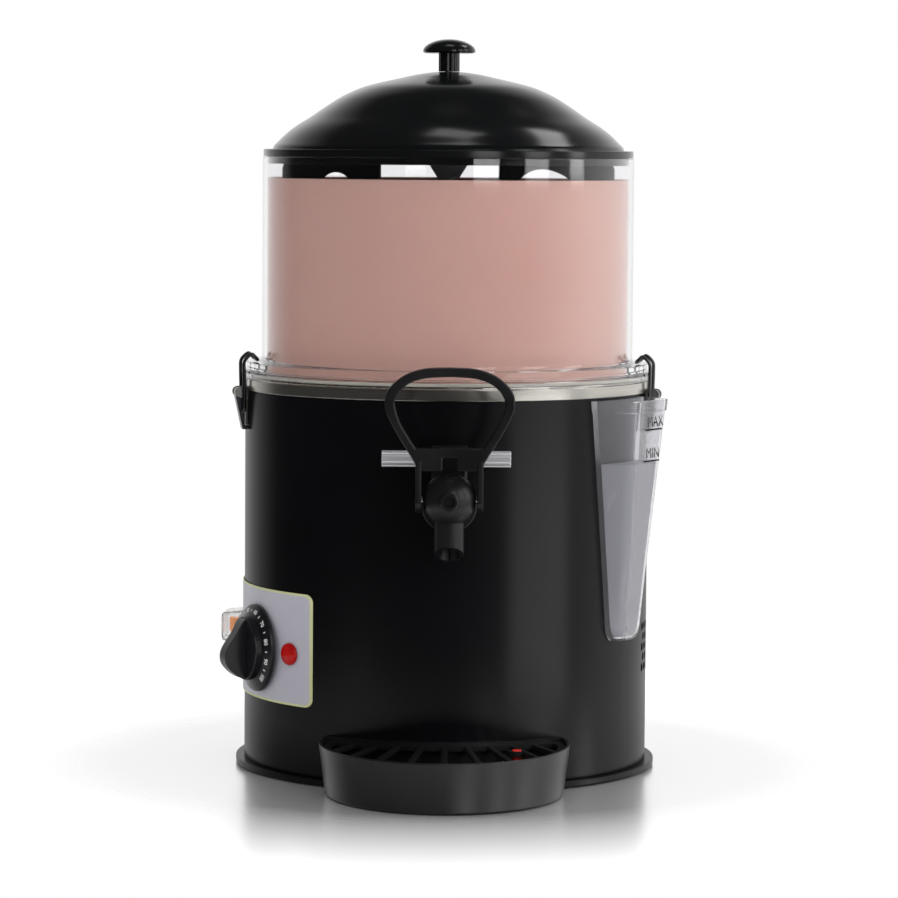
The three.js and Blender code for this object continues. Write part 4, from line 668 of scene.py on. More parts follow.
def bath_and_bowl():
    rim = turned(
        [
            (117, 248.4), (129.4, 248.4), (129.4, 242.3), (131, 242.3), (131, 249.4),
            (117, 249.4),
        ],
        144,
    )
    bevelled(rim, 0.45, 3, 40)
    finished(rim, "rim_bright", "machine", rim_steel, ["bath_rim"])
    bowl = turned(
        [
            (127.6, 249.7), (131.5, 249.7), (131.5, 255), (129.3, 255), (129.3, 260),
            (122.2, 260), (120.2, 260.8), (119.4, 262.8), (119.4, 391), (116.4, 391),
            (116.4, 253.3), (127.6, 253.3),
        ],
        144,
    )
    bevelled(bowl, 0.5, 3, 40)
    finished(bowl, "bowl_clear", "machine", clear_bowl, ["bowl"])
    drink = turned(
        [
            (0, 172.4), (108, 172.4), (111.8, 176), (111.8, 252), (116.1, 253.5),
            (116.1, 376.7), (115.9, 377.4), (114.9, 377.1), (112, 376.9), (0, 376.9),
        ],
        144,
    )
    finished(drink, "drink_filling", "machine", drink_brown)
    gasket = turned([(115, 250.8), (126, 250.8), (126, 253), (115, 253)], 128)
    bevelled(gasket, 0.5, 3)
    finished(gasket, "bowl_seal", "machine", seal_silicone, ["pot_gasket"])


def lid_and_knob():
    slope = [
        (112.9, 395.8), (111.9, 398.1), (109.4, 400.6), (104.2, 405.7), (97.5, 410.9),
        (89.3, 416), (82, 421), (75.8, 425.2), (69.4, 429.2), (62, 432.9), (53.7, 436.2),
        (43.4, 438.9), (31.8, 441.5), (22, 443.7), (13, 445.2), (8, 445.7),
    ]
    dome = smooth_line(slope, 3)
    under = []
    for i in range(3, len(dome), 3):
        (ax, ay), (bx, by) = dome[i - 1], dome[min(i + 1, len(dome) - 1)]
        length = math.hypot(bx - ax, by - ay)
        x, y = dome[i]
        under.append((x - (by - ay) / length * LID_WALL, y + (bx - ax) / length * LID_WALL))
    profile = [
        (116, 391.3), (118.8, 391.3), (118.8, 395.1), (118.6, 395.6), (118.1, 395.8), *dome,
        (2.8, 445.7), (2.8, 443.2), (8, 443.2), *reversed(under[:-1]), (113.4, 391.3),
        (113.4, 386.6), (113.7, 386.5), (115.6, 386.5), (115.9, 386.8),
    ]
    lid = turned(profile, 128)
    finished(lid, "lid_dome", "lid", gloss_black, ["lid"], angle=50)
    stem = plate(fluted(6.7, 0.8, 10), 11.6, "z")
    moved(stem, 0, 0, 451.8)
    cap = turned(
        [
            (0, 457.6), (14.8, 457.6), (16.2, 457.9), (16.9, 458.7), (16.75, 460), (15.7, 461.8),
            (13.4, 463.6), (9.7, 465.3), (5, 466.4), (0, 466.7),
        ],
        48,
    )
    cut(stem, rod(2.8, 440, 454.8, 24))
    knob = gathered(stem, cap)
    finished(knob, "lid_knob_cap", "lid", gloss_black, ["lid_knob"], angle=40)
    screw = turned(
        [
            (0, 440.3), (4.6, 440.3), (5.5, 441.2), (5.5, 442.9), (2.5, 442.9), (2.5, 454.5),
            (0, 454.5),
        ],
        32,
    )
    cut(screw, block((-6, -0.6, 440), (6, 0.6, 441)))
    finished(screw, "lid_screw", "lid", turned_steel, ["lid_knob_screw"])


def paddle_and_shaft():
    outer = [
        (-107, 177), (107, 177), (107, 384), (105.8, 386.8), (103, 388), (32.3, 388), (32.3, 345),
        (-43.3, 345), (-43.3, 388), (-103, 388), (-105.8, 386.8), (-107, 384),
    ]
    paddle = plate(outer, 4)
    arch = [(-82, 216), (-62.6, 216), *arc(-72.3, 371.3, 9.7, 0, 180, 12)]
    top = [(84, 368), (78, 377), (68, 382.4), (58, 383.6), (49, 380), (42.6, 372)]
    sail = [(42.6, 216), (84, 216), *smooth_line(top, 4)]
    cut(
        paddle,
        plate(arch, 12),
        plate(sail, 12),
        block((-43.3, -6, 204), (-10, 6, 326)),
        block((10, -6, 204), (32.3, 6, 326)),
    )
    bevelled(paddle, 0.9, 3, 50)
    hub = turned([(4.95, 174.5), (10, 174.5), (10, 376.5), (4.95, 376.5)], 40)
    bevelled(hub, 0.6, 2, 50)
    cut(paddle, rod(4.95, 170, 380, 32))
    finished(
        gathered(paddle, hub), "paddle_blades", "stirrer", paddle_black, ["stirrer"]
    )
    cone = turned(
        [
            (4.95, 377), (5.9, 377), (7.4, 378.4), (11.6, 385), (12, 385.8), (12, 387.4),
            (4.95, 387.4),
        ],
        48,
    )
    bevelled(cone, 0.35, 2, 40)
    finished(
        cone, "paddle_cone", "stirrer", grey_moulding, ["stirrer_cone_nut"]
    )
    shaft = turned([(0, 68.3), (4.65, 68.3), (4.65, 385.2), (3.9, 386), (0, 386)], 40)
    finished(shaft, "stirrer_shaft", "stirrer", turned_steel, ["drive_shaft"])


def tap():
    body = moved(ball(TAP_BALL), 0, -TAP_OUT, TAP_UP)
    barrel = placed(
        turned(
            [
                (0, 118.3), (11.5, 118.3), (11.5, 133.2), (16.3, 133.2), (17, 133.9), (17, 137),
                (16.3, 137.7), (12.7, 137.7), (11.5, 139), (11.5, 165), (0, 165),
            ],
            64,
        ),
        OUTWARDS,
    )
    moved(barrel, 0, 0, OUTLET_UP)
    lug = bevelled(block((-11, -145.1, 184), (11, -133.2, 215.5)), 2.2, 3)
    rest = bevelled(block((-11, -140, 196.3), (11, -130.6, 215.5)), 0.4, 1)
    spout = turned([(0, 140), (9, 140), (9, 180), (0, 180)], 48)
    moved(spout, 0, -TAP_OUT, 0)
    boss = placed(
        turned([(0, 165), (5.5, 165), (5.5, 181.9), (4.9, 182.5), (0, 182.5)], 40), OUTWARDS
    )
    slant = (157 - 145.8) / (174 - 156)
    mitre = [(186, 157 + 12 * slant), (150, 145.8 - 6 * slant), (150, 130), (186, 130)]
    cut(spout, side_plate(mitre, 40))
    united(body, barrel, lug, rest, spout, moved(boss, 0, 0, TAP_UP))
    dimple = spigot(3.4, 180.1, 190, TAP_UP)
    bore = spigot(5, 117, 160, OUTLET_UP)
    socket = spigot(7.3, 110, 129.1, OUTLET_UP)
    chamber = moved(rod(8.4, 172.3, 210, 40), 0, -TAP_OUT, 0)
    mouth = moved(rod(6.4, 130, 178, 40), 0, -TAP_OUT, 0)
    pivot = crossbar(2.5, 24, TAP_OUT, TAP_UP, 24)
    bar_way = crossbar(5.3, 24, BAR_OUT, BAR_UP, 40)
    cut(body, dimple, bore, socket, chamber, mouth, pivot, bar_way)
    moved(body, TAP_X, 0, 0)
    finished(body, "tap_housing", "machine", satin_black, ["tap_body"])
    cap = united(ball(TAP_BALL), rod(8.1, 12.3, 12.9, 40))
    cut(cap, block((-20, -20, -20), (20, 20, 12.3)))
    combine(cap, rod(8.1, 5, 20, 48), "INTERSECT")
    cut(cap, block((-9, -0.6, 15.1), (9, 0.6, 18)))
    moved(cap, TAP_X, -TAP_OUT, TAP_UP)
    finished(cap, "tap_lid", "machine", satin_black, ["tap_cap"])
    bar = placed(plate(fluted(5, 0.75, 14), 79, "z"), ACROSS)
    bevelled(bar, 0.3, 1, 60)
    moved(bar, 0, -BAR_OUT, BAR_UP)
    finished(bar, "lock_bar", "machine", satin_bar, ["tap_retainer_bar"], angle=25)


def tap_spring():
    """Four coils over the plunger"""
    circle = arc(TAP_X, -TAP_OUT, 7.1, 0, 4 * 360, 64)
    coil = [(x, y, 190.27 + 6.28 * i / 64) for i, (x, y) in enumerate(circle)]
    spring = wire(coil, 0.45, 2)
    finished(spring, "tap_coil", "machine", spring_steel, ["tap_spring"], angle=60)
    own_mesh(spring)


def mirrored(half):
    """A whole outline from its right half, which starts at the middle"""
    return [*half, *[(-x, z) for x, z in reversed(half[1:])]]


def tap_handle():
    loop = [
        (0, 80.1), (15.7, 79.3), (26.5, 75.8), (33.8, 70.6), (38.4, 64.5), (39.2, 59),
        (38.6, 53.5), (35.2, 46), (29.6, 36.1), (22.8, 25.4), (18.4, 17.5),
    ]
    hole = [
        (0, 74.6), (14, 73.8), (23.3, 71.1), (29.6, 66.4), (33.1, 60.2), (32.8, 55), (29.9, 46.5),
        (24.1, 36.7), (20.4, 31.2),
    ]
    handle = plate(mirrored(smooth_line(loop, 4)), 10)
    slot = block((-4.25, -10, 10), (4.25, 10, 25.6))
    cut(handle, plate(mirrored(smooth_line(hole, 4)), 20), slot)
    bevelled(handle, 1.6, 3, 50)
    arms = []
    for side in (-1, 1):
        arm = side_plate([*arc(0, 0, 8, 180, 360, 16), (5.2, 24), (-5.2, 24)], 3.7)
        bevelled(arm, 0.7, 2, 50)
        arms.append(moved(arm, side * 18.75, 0, 0))
    united(handle, *arms)
    cut(handle, ball(16.9), placed(rod(2.5, -40, 40, 24), ACROSS))
    moved(handle, TAP_X, -TAP_OUT, TAP_UP)
    finished(
        handle, "handle_loop", "tap_lever", satin_black, ["tap_handle"], angle=40
    )
    pin = placed(rod(2.2, -20.6, 20.6, 24), ACROSS)
    bevelled(pin, 0.4, 2, 50)
    finger = block((-2, 0, -2.2), (2, 6, 2.2))
    united(pin, finger)
    moved(pin, TAP_X, -TAP_OUT, TAP_UP)
    finished(pin, "handle_pin", "tap_lever", turned_steel, ["tap_cam_shaft"])


def latches():
    for side, azimuth in (("left", -LATCH), ("right", LATCH)):
        back = bevelled(block((-6.1, -131.5, 220), (6.1, -130.3, 242)), 0.4, 2)
        ear = [
            (130.3, 235.5), (135.6, 237.6), *arc(HINGE_OUT, HINGE_UP, 3.4, -90, 90, 8),
            (131.3, 244.4), (131.3, 242), (130.3, 242),
        ]
        parts = [moved(side_plate(ear, 1.2), s * 5.5, 0, 0) for s in (-1, 1)]
        parts.append(crossbar(1.3, 6.6, HINGE_OUT, HINGE_UP, 20))
        bracket = united(back, *parts)
        at_azimuth(bracket, azimuth)
        finished(
            bracket, "latch_plate_" + side, "machine", bracket_steel,
            ["latch_bracket_" + side],
        )
        blade = [
            (130.3, 217), (133.5, 217), (138.5, 240.6), *arc(HINGE_OUT, HINGE_UP, 2.9, 0, 180, 8),
            (131.85, 231.2), (132.1, 229), (132.1, 220), (130.3, 219.4),
        ]
        lever = side_plate(blade, 8.8)
        bevelled(lever, 0.5, 2, 50)
        hinge = crossbar(1.6, 9, HINGE_OUT, HINGE_UP, 20)
        cut(lever, hinge, crossbar(1.4, 9, EYE_OUT, EYE_UP, 20))
        at_azimuth(lever, azimuth)
        name = "latch_lever_" + side
        finished(
            lever, "latch_blade_" + side, name, spring_steel, [name]
        )
        half = [
            (0.3, EYE_OUT, EYE_UP), (5.8, EYE_OUT, EYE_UP), (8, EYE_OUT, 231.2),
            (8, EYE_OUT, 242), (8, 133.25, 255), (8, 132.8, 261.1), (8, 128.6, 265.2),
            (8, 126.4, 263.8), (6.9, 124.5, 261.9), (3.6, 124.2, 261.6),
        ]
        line = [*half, *[(-x, out, up) for x, out, up in reversed(half)]]
        bail = wire(smooth_line([(x, -out, up) for x, out, up in line], 6), 1.1, 4)
        at_azimuth(bail, azimuth)
        name = "latch_bail_" + side
        finished(
            bail, "latch_wire_" + side, name, spring_steel, [name], angle=50
        )


def bent_plate(inner, outer, half_width, half_height, corner, middle):
    """A rounded rectangle bent round the casing"""
    skin = turned([(inner, 40), (outer, 40), (outer, 130), (inner, 130)], 180)
    window = plate(rounded_rectangle(half_width, half_height, corner, 8), 90)
    moved(window, 0, -BODY, PLATE_UP)
    at_azimuth(window, middle)
    return combine(skin, window, "INTERSECT")


def control_plate():
    start, end = PLATE_ENDS
    middle = (start + end) / 2
    half = PLATE_FACE * math.sin(math.radians((end - start) / 2))
    plate_back = bent_plate(130.3, 131.0, half, PLATE_HALF, 5, middle)
    plate_front = bent_plate(
        130.9, PLATE_FACE, half - PLATE_BORDER, PLATE_HALF - PLATE_BORDER, 3.8, middle
    )
    for skin in (plate_back, plate_front):
        holes = (port(3.3, CONTROL_UP, DIAL), port(5.5, CONTROL_UP, LAMP), switch_slot())
        cut(skin, gathered(*holes))
    finished(
        plate_back, "panel_back", "machine", plate_border, ["control_plate"]
    )
    finished(plate_front, "panel_face", "machine", plate_silver)


def lamp_and_switch():
    lens = turned(
        [
            (0, 123.4), (5.2, 123.4), (5.2, 131.4), (7, 131.4), (7, 132.5), (6.7, 133.2),
            (5.6, 134.1), (3.5, 134.75), (1.6, 134.97), (0, 135),
        ],
        48,
    )
    at_azimuth(moved(placed(lens, OUTWARDS), 0, 0, CONTROL_UP), LAMP)
    finished(lens, "lamp_dome", "machine", lamp_red, ["pilot_lamp_lens"], angle=50)
    housing = bevelled(block((-13, -133.4, -8), (13, -131.4, 8)), 0.5, 2)
    united(housing, block((-12.5, -132, -7.25), (12.5, -111.4, 7.25)))
    cut(housing, block((-11.3, -140, -6), (11.3, -123.5, 6)))
    at_azimuth(moved(housing, 0, 0, SWITCH_UP), SWITCH)
    finished(
        housing, "switch_bezel", "machine", white_moulding, ["switch_housing"]
    )
    rocker = plate(
        [
            (-9, -12.6), (-5, -10), (0, -9.3), (5, -10), (9, -12.6), (9, 0), (4.5, 2.4),
            (-4.5, 2.4), (-9, 0),
        ],
        11,
        "z",
    )
    bevelled(rocker, 0.6, 3, 20)
    united(rocker, rod(1.2, -6.6, 6.6, 16))
    placed(rocker, Matrix.Rotation(math.radians(ROCKER_LEAN), 4, "Z"))
    at_azimuth(moved(rocker, 0, -ROCKER_OUT, SWITCH_UP), SWITCH)
    finished(
        rocker, "switch_key", "switch_rocker", rocker_orange, ["switch_rocker"]
    )
    outside = [
        (131.4, 15, 10.5), (142.6, 13.9, 9.4), (143.9, 13.4, 8.9), (144.6, 12.8, 8.3),
        (144.8, 12, 7.5),
    ]
    inside = [(130.9, 14, 9.5), (142.2, 12.9, 8.4), (143.3, 12.2, 7.7), (143.8, 11.4, 6.9)]
    hood = boxed(outside, 3)
    cut(hood, boxed(inside, 2.6))
    at_azimuth(moved(placed(hood, OUTWARDS), 0, 0, SWITCH_UP), SWITCH)
    finished(
        hood, "switch_hood", "machine", hood_clear, ["switch_cover"], angle=40
    )


def dial():
    body = turned(
        [
            (0, 0), (27.3, 0), (27.75, 0.5), (27.75, 2.1), (27.4, 2.7), (26.6, 3.2), (20.9, 5.5),
            (20.3, 5.7), (20.3, 9.4), (20, 10), (19.4, 10.3), (0, 10.3),
        ],
        96,
    )
    cut(body, rod(3.3, -4, 7.3, 32))
    knurls = []
    for i in range(60):
        groove = block((19.95, -0.3, 6.2), (21.2, 0.3, 9.2))
        knurls.append(placed(groove, Matrix.Rotation(TURN * i / 60, 4, "Z")))
    cut(body, gathered(*knurls))
    placed(body, OUTWARDS)
    moved(body, 0, -DIAL_BACK, 0)
    grip = [
        (-19.5, 9.7), (-18.3, 13.6), (-15.6, 18), (-12.3, 21.4), (-8.4, 23.8), (-4, 24.3),
        (0, 23.2), (4, 20.8), (9.4, 17), (16.4, 12.8), (19.5, 9.7),
    ]
    fin = side_plate([(DIAL_BACK + out, up) for up, out in smooth_line(grip, 4)], 9.5)
    bevelled(fin, 1.4, 3, 40)
    united(body, fin)
    at_azimuth(moved(body, 0, 0, CONTROL_UP), DIAL)
    finished(
        body, "dial_grip", "thermostat", dial_black, ["thermostat_knob"], angle=35
    )
    # Numbers and ticks in turn, each leaning with the skirt's cone
    marks = []
    lean = Matrix.Rotation(-math.atan2(2.3, 5.7), 4, "X")
    out = Matrix.Translation(Vector((0, 23.9, 4.4)) * MM)
    for i in range(19):
        if i % 2 == 0:
            mark = written(str(10 * (i // 2 + 1)), 4.2)
        else:
            mark = block((-0.28, -0.9, -0.05), (0.28, 0.9, 0.05))
        spin = Matrix.Rotation(-math.radians(-135 + 15 * i), 4, "Z")
        marks.append(placed(mark, spin @ out @ lean))
    pointer = block((-0.5, 11, 10.25), (0.5, 18.5, 10.36))
    numbers = placed(gathered(*marks, pointer), OUTWARDS)
    at_azimuth(moved(numbers, 0, -DIAL_BACK, CONTROL_UP), DIAL)
    finished(numbers, "dial_numbers", "thermostat", mark_white)


def cup_section(up, inset=0.0, spread=0.0, shrink=1.0):
    """The cup's outline at a height, with its back following the casing

    back and face are its half widths at the casing and at its outer face, reach is how far
    out that face stands. An inset makes the outline of the hollow, a spread that of the lip,
    and a shrink below 1 the rounded foot's.
    """
    share = (up - CUP_FOOT) / CUP_HEIGHT
    back = (16 + 15.5 * share) * shrink - inset + spread
    face = (10 + 10 * share) * shrink - inset * 0.6 + spread
    reach = CUP_OUT + CUP_FLARE * share - inset + spread - (1 - shrink) * 9
    back_radius = BODY + 0.3 + inset
    corner = min(6 - inset * 0.6, (reach - back_radius) / 2)
    side_angle = math.asin(back / back_radius)
    side_y = -back_radius * math.cos(side_angle)
    slope = (back - face) / (side_y + reach)
    points = []
    for i in range(7):
        t = i / 6
        points.append(
            (face - corner * (1 - t) ** 2 + slope * corner * t**2, -reach + corner * t**2, up)
        )
    for i in range(13):
        angle = side_angle * (1 - i / 6)
        points.append((back_radius * math.sin(angle), -back_radius * math.cos(angle), up))
    points += [(-x, y, z) for x, y, z in reversed(points[:7])]
    return points


def fill_cup():
    foot = [(0, 0.62), (0.7, 0.75), (1.9, 0.86), (4, 0.94), (6.5, 0.985), (9, 1)]
    levels = [cup_section(CUP_FOOT + h, shrink=s) for h, s in foot]
    levels += [cup_section(up) for up in (130, 180, 210, 233.2)]
    lip = ((233.6, 0.7), (234.1, 0.8), (240.3, 0.8), (CUP_TOP, 0.5))
    levels += [cup_section(up, spread=spread) for up, spread in lip]
    cup = lofted(levels)
    hollow = [cup_section(CUP_FOOT + CUP_WALL + h, CUP_WALL, shrink=s) for h, s in foot]
    hollow += [cup_section(up, CUP_WALL) for up in (130, 180, 210, CUP_TOP)]
    hollow.append([(x, y, 246) for x, y, _ in hollow[-1]])
    cut(cup, lofted(hollow), spigot(5.3, 126, 136, CUP_BOLT_UP))
    at_azimuth(cup, CUP)
    finished(
        cup, "fill_cup", "machine", frosted_cup, ["reservoir_cup"], angle=40
    )
    # The water keeps clear of the wall and of the bolt's head
    water = [cup_section(90.7 + h, 2.15, shrink=s) for h, s in foot]
    water += [cup_section(up, 2.15) for up in (130, 165, 200, 201)]
    filling = cut(lofted(water), spigot(7.8, 126, 136, CUP_BOLT_UP))
    at_azimuth(filling, CUP)
    finished(filling, "cup_water", "machine", bath_water, angle=50)
    pipe = turned(
        [(3, 116.7), (5, 116.7), (5, 132.6), (7.5, 132.6), (7.5, 135), (3, 135)], 40
    )
    bevelled(pipe, 0.4, 2)
    at_azimuth(moved(placed(pipe, OUTWARDS), 0, 0, CUP_BOLT_UP), CUP)
    finished(
        pipe, "fill_cup_bolt", "machine", white_moulding, ["reservoir_fitting"]
    )
    lean = Matrix.Rotation(math.pi / 2 - math.atan2(CUP_FLARE, CUP_HEIGHT), 4, "X")
    marks = []
    for text, up in (("MAX", 227.0), ("MIN", 207.2)):
        reach = CUP_OUT + CUP_FLARE * (up - CUP_FOOT) / CUP_HEIGHT
        words = written(text, 9.4)
        line = block((-12, -5.1, -0.05), (8, -4.2, 0.05))
        mark = placed(gathered(words, line), lean)
        marks.append(moved(mark, 4.9, -reach - 0.04, up))
    marks = at_azimuth(gathered(*marks), CUP)
    finished(marks, "fill_cup_marks", "machine", mark_black)


def tray_level(up, inset):
    """The tray's oval at a height; its wall leans in by 4 mm down to the table"""
    less = 4 * (1 - up / TRAY_HEIGHT) + inset
    angles = [TURN * i / 96 for i in range(96)]
    return [
        ((77.5 - less) * math.cos(a), (85.5 - less) * math.sin(a) + TRAY_Y, up) for a in angles
    ]


def slab(low, high, inset):
    """The tray's oval at the grille's height, carried from one height to another"""
    return lofted([[(x, y, z) for x, y, _ in tray_level(27, inset)] for z in (low, high)])


def tray_grille_float():
    foot = [(0, 2), (0.5, 1.1), (1.2, 0.4), (2, 0)]
    levels = [tray_level(up, inset) for up, inset in foot]
    levels += [tray_level(30.9, 0), tray_level(31.6, 0.25), tray_level(TRAY_HEIGHT, 0.8)]
    tray = lofted(levels)
    inside = [(2.4, 5), (2.9, 3.6), (4.4, 2.2), (31, 2.2), (40, 1.4)]
    pocket = lofted([tray_level(up, inset) for up, inset in inside])
    cut(pocket, rod(132.7, -1, 50, 160), rod(138.1, -1, 7.5, 160))
    cut(tray, rod(130.5, 5.3, 40, 160), rod(135.9, -1, 5.3, 160), pocket)
    finished(tray, "tray_shell", "drip_tray", tray_black, ["drip_tray"], angle=35)
    inset = 2.7
    blank = slab(27, 30, inset)
    cut(blank, rod(133.2, 20, 40, 160))
    opening = slab(20, 40, inset + 4)
    cut(opening, rod(137.2, 10, 50, 160))
    ribs = []
    for i in range(11):
        rib = block((-1.9, -222, 27), (1.9, -128, 30))
        bevelled(rib, 0.7, 2)
        ribs.append(at_azimuth(rib, 6 * (i - 5)))
    fan = united(*ribs, moved(rod(5.9, 27, 30, 40), FLOAT_X, FLOAT_Y, 0))
    combine(fan, copied(blank), "INTERSECT")
    grille = united(cut(blank, opening), fan)
    cut(grille, moved(rod(3.5, 20, 40, 32), FLOAT_X, FLOAT_Y, 0))
    finished(
        grille, "grille_fan", "drip_grille", satin_black, ["drip_grille"], angle=35
    )
    pin = turned(
        [
            (0, 2.7), (10.4, 2.7), (11, 3.3), (11, 9.1), (10.4, 9.7), (3, 9.7), (3, 30),
            (2.4, 30.6), (0, 30.6),
        ],
        40,
    )
    moved(pin, FLOAT_X, FLOAT_Y, 0)
    finished(pin, "float_pin", "drip_float", pin_red, ["drip_float"])


def rear_gland():
    pipe = turned(
        [
            (3.8, 116.8), (7.6, 116.8), (8, 117.2), (8, 133.3), (8, 141.7), (6.2, 146.3),
            (5.4, 147.3), (3.8, 147.3),
        ],
        40,
    )
    flange = bevelled(plate(arc(0, 0, 10, 0, 300, 5), 3, "z"), 0.4, 2)
    cut(flange, rod(7.7, -4, 4, 40))
    gland = gathered(pipe, moved(flange, 0, 0, 131.8))
    at_azimuth(moved(placed(gland, OUTWARDS), 0, 0, GLAND_UP), 180)
    finished(gland, "cord_inlet", "machine", soft_rubber, ["cord_gland"])


def inner_pieces():
    """The CAD's own meshes, with finishes of this script"""
    for material, names in (
        (turned_steel, ("bath_tank", "product_pot", "bath_heater", "tap_nut", "thermostat_stem")),
        (bracket_steel, ("motor_bracket",)),
        (motor_paint, ("gearmotor", "gearbox")),
        (seal_silicone, ("shaft_seal", "tap_gasket", "tap_plunger_seal")),
        (white_moulding, ("tap_plunger", "pilot_lamp_holder", "terminal_block")),
        (satin_black, ("thermostat_body",)),
    ):
        for name in names:
            nodes[name].data.materials.clear()
            nodes[name].data.materials.append(material)


base_and_casing()
bath_and_bowl()
lid_and_knob()
paddle_and_shaft()
tap()
tap_spring()
tap_handle()
latches()
control_plate()
lamp_and_switch()
dial()
fill_cup()
tray_grille_float()
rear_gland()
inner_pieces()


# Floor, light and camera, in metres

# Strengths: to dull surfaces, of the dim room and of the white backdrop in gloss and glass
WORLD_LIGHT = 1.0
ROOM_LIGHT = 0.03
BACKDROP_LIGHT = 1.0
# The backdrop grows with a direction's share of BACKDROP_SIDE and ends with its height
BACKDROP_SIDE = (0.5, 0.9, 0.0)
BACKDROP_FROM = -0.1
BACKDROP_TO = 0.6
CEILING_FROM = 0.34
CEILING_TO = 0.7
# The floor's mirror fades into plain white between POLISH_FROM and POLISH_TO
FLOOR_SIZE = 0.9
FLOOR_WHITE = 0.95
FLOOR_MIRROR = 0.75
FLOOR_BLUR = 0.25
FLOOR_GLOW = 0.25
POLISH_FROM = 0.21
POLISH_TO = 0.38
# Name, place, width and height, and radiance
LAMPS = (
    ("near_strip", (0.85, -2.03, 1.16), (0.6, 1.6), 3.6),
    ("middle_strip", (1.8, -1.27, 1.16), (0.6, 1.6), 3.6),
    ("side_strip", (2.19, -0.22, 1.16), (0.42, 1.6), 3.6),
    ("low_panel", (1.75, -1.33, -0.1), (1.4, 0.42), 2.1),
    ("upper_panel", (0.07, 0.17, 2.4), (0.56, 0.45), 3),
    ("upper_side_panel", (1.05, 0.76, 2.05), (0.7, 0.45), 5),
)
LAMP_AIM_TOP = 1.2
CAMERA_PLACE = (0.0016, -2.496, 0.3973)
CAMERA_PITCH = 4.45
CAMERA_ROLL = 0.4
FOCAL_LENGTH = 155.2
SENSOR = 36


def ramp(tree, low, high, first, last):
    """A Map Range node, from first at low to last at high"""
    return node(
        tree, "ShaderNodeMapRange", From_Min=low, From_Max=high, To_Min=first, To_Max=last
    )


def room(tree):
    """The white backdrop behind the object and the dim room before and over it, by direction"""
    link = tree.links.new
    place = node(tree, "ShaderNodeTexCoord")
    split = node(tree, "ShaderNodeSeparateXYZ")
    back = node(tree, "ShaderNodeVectorMath", operation="DOT_PRODUCT", in_1=BACKDROP_SIDE)
    behind = ramp(tree, BACKDROP_FROM, BACKDROP_TO, ROOM_LIGHT, BACKDROP_LIGHT)
    below = ramp(tree, CEILING_FROM, CEILING_TO, BACKDROP_LIGHT, ROOM_LIGHT)
    link(place.outputs["Generated"], split.inputs[0])
    link(place.outputs["Generated"], back.inputs[0])
    link(back.outputs["Value"], behind.inputs[0])
    link(split.outputs["Z"], below.inputs[0])
    return joined(tree, "MINIMUM", behind.outputs[0], below.outputs[0])


def backdrop(tree, back):
    """White to the camera, the room to gloss and glass, and an even light to dull surfaces"""
    link = tree.links.new
    path = node(tree, "ShaderNodeLightPath")
    camera_ray, depth = path.outputs["Is Camera Ray"], path.outputs["Diffuse Depth"]
    shown = node(tree, "ShaderNodeMix", in_3=1.0)
    level = node(tree, "ShaderNodeMix", in_2=WORLD_LIGHT)
    link(camera_ray, shown.inputs["Factor"])
    link(room(tree), shown.inputs[2])
    glossy, through = path.outputs["Is Glossy Ray"], path.outputs["Is Transmission Ray"]
    sharp = joined(tree, "MAXIMUM", glossy, through)
    first = joined(tree, "SUBTRACT", sharp, depth, use_clamp=True)
    seen = joined(tree, "MAXIMUM", first, camera_ray)
    link(seen, level.inputs["Factor"])
    link(shown.outputs[0], level.inputs[3])
    link(level.outputs[0], back.inputs["Strength"])


def world():
    made = bpy.data.worlds.new("studio")
    bpy.context.scene.world = made
    made.use_nodes = True
    back = made.node_tree.nodes["Background"]
    back.inputs["Color"].default_value = (1, 1, 1, 1)
    backdrop(made.node_tree, back)


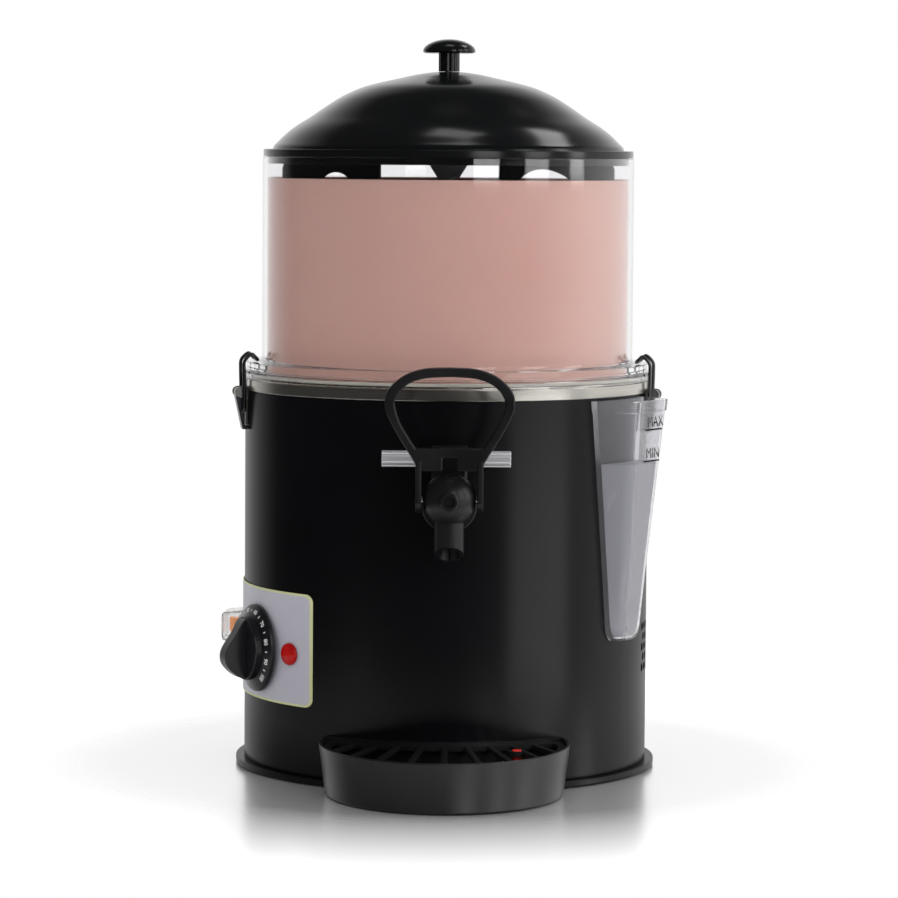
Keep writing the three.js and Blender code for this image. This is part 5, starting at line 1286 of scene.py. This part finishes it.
def white_floor():
    """A white sheet with a soft mirror under the object, which fades into the backdrop"""
    clear_selection()
    bpy.ops.mesh.primitive_plane_add(size=FLOOR_SIZE, location=(0, 0, 0))
    floor = bpy.context.active_object
    floor.name = "floor"
    material = bpy.data.materials.new("floor_white")
    material.use_nodes = True
    tree = material.node_tree
    link = tree.links.new
    shader = tree.nodes["Principled BSDF"]
    shader.inputs["Base Color"].default_value = (FLOOR_WHITE, FLOOR_WHITE, FLOOR_WHITE, 1)
    shader.inputs["Roughness"].default_value = FLOOR_BLUR
    shader.inputs["Emission Color"].default_value = (1, 1, 1, 1)
    place = node(tree, "ShaderNodeTexCoord")
    far = node(tree, "ShaderNodeVectorMath", operation="LENGTH")
    polish = ramp(tree, POLISH_FROM, POLISH_TO, FLOOR_MIRROR, 0.0)
    white = ramp(tree, POLISH_FROM, POLISH_TO, 0.0, FLOOR_GLOW)
    glow = node(tree, "ShaderNodeMath", operation="MULTIPLY")
    link(place.outputs["Object"], far.inputs[0])
    link(far.outputs["Value"], polish.inputs[0])
    link(far.outputs["Value"], white.inputs[0])
    link(polish.outputs[0], shader.inputs["Metallic"])
    path = node(tree, "ShaderNodeLightPath")
    camera_ray, through = path.outputs["Is Camera Ray"], path.outputs["Is Transmission Ray"]
    link(joined(tree, "MAXIMUM", camera_ray, through), glow.inputs[0])
    link(white.outputs[0], glow.inputs[1])
    link(glow.outputs[0], shader.inputs["Emission Strength"])
    floor.data.materials.append(material)


def lamps():
    """Area lights aimed at the axis, level with themselves but not above LAMP_AIM_TOP"""
    for name, place, size, glow in LAMPS:
        lamp = bpy.data.lights.new(name, "AREA")
        lamp.shape = "RECTANGLE"
        lamp.size, lamp.size_y = size
        lamp.energy = glow * math.pi * size[0] * size[1]
        holder = bpy.data.objects.new(name, lamp)
        bpy.context.scene.collection.objects.link(holder)
        holder.location = place
        direction = Vector((0, 0, min(place[2], LAMP_AIM_TOP))) - holder.location
        holder.rotation_euler = direction.to_track_quat("-Z", "Y").to_euler()


def camera():
    lens = bpy.data.cameras.new("camera")
    lens.sensor_width = SENSOR
    lens.lens = FOCAL_LENGTH
    holder = bpy.data.objects.new("camera", lens)
    bpy.context.scene.collection.objects.link(holder)
    pitch = Matrix.Rotation(math.radians(90 - CAMERA_PITCH), 4, "X")
    roll = Matrix.Rotation(math.radians(CAMERA_ROLL), 4, "Z")
    holder.matrix_world = Matrix.Translation(CAMERA_PLACE) @ pitch @ roll
    bpy.context.scene.camera = holder


world()
white_floor()
lamps()
camera()
bpy.context.scene.view_settings.view_transform = "Standard"
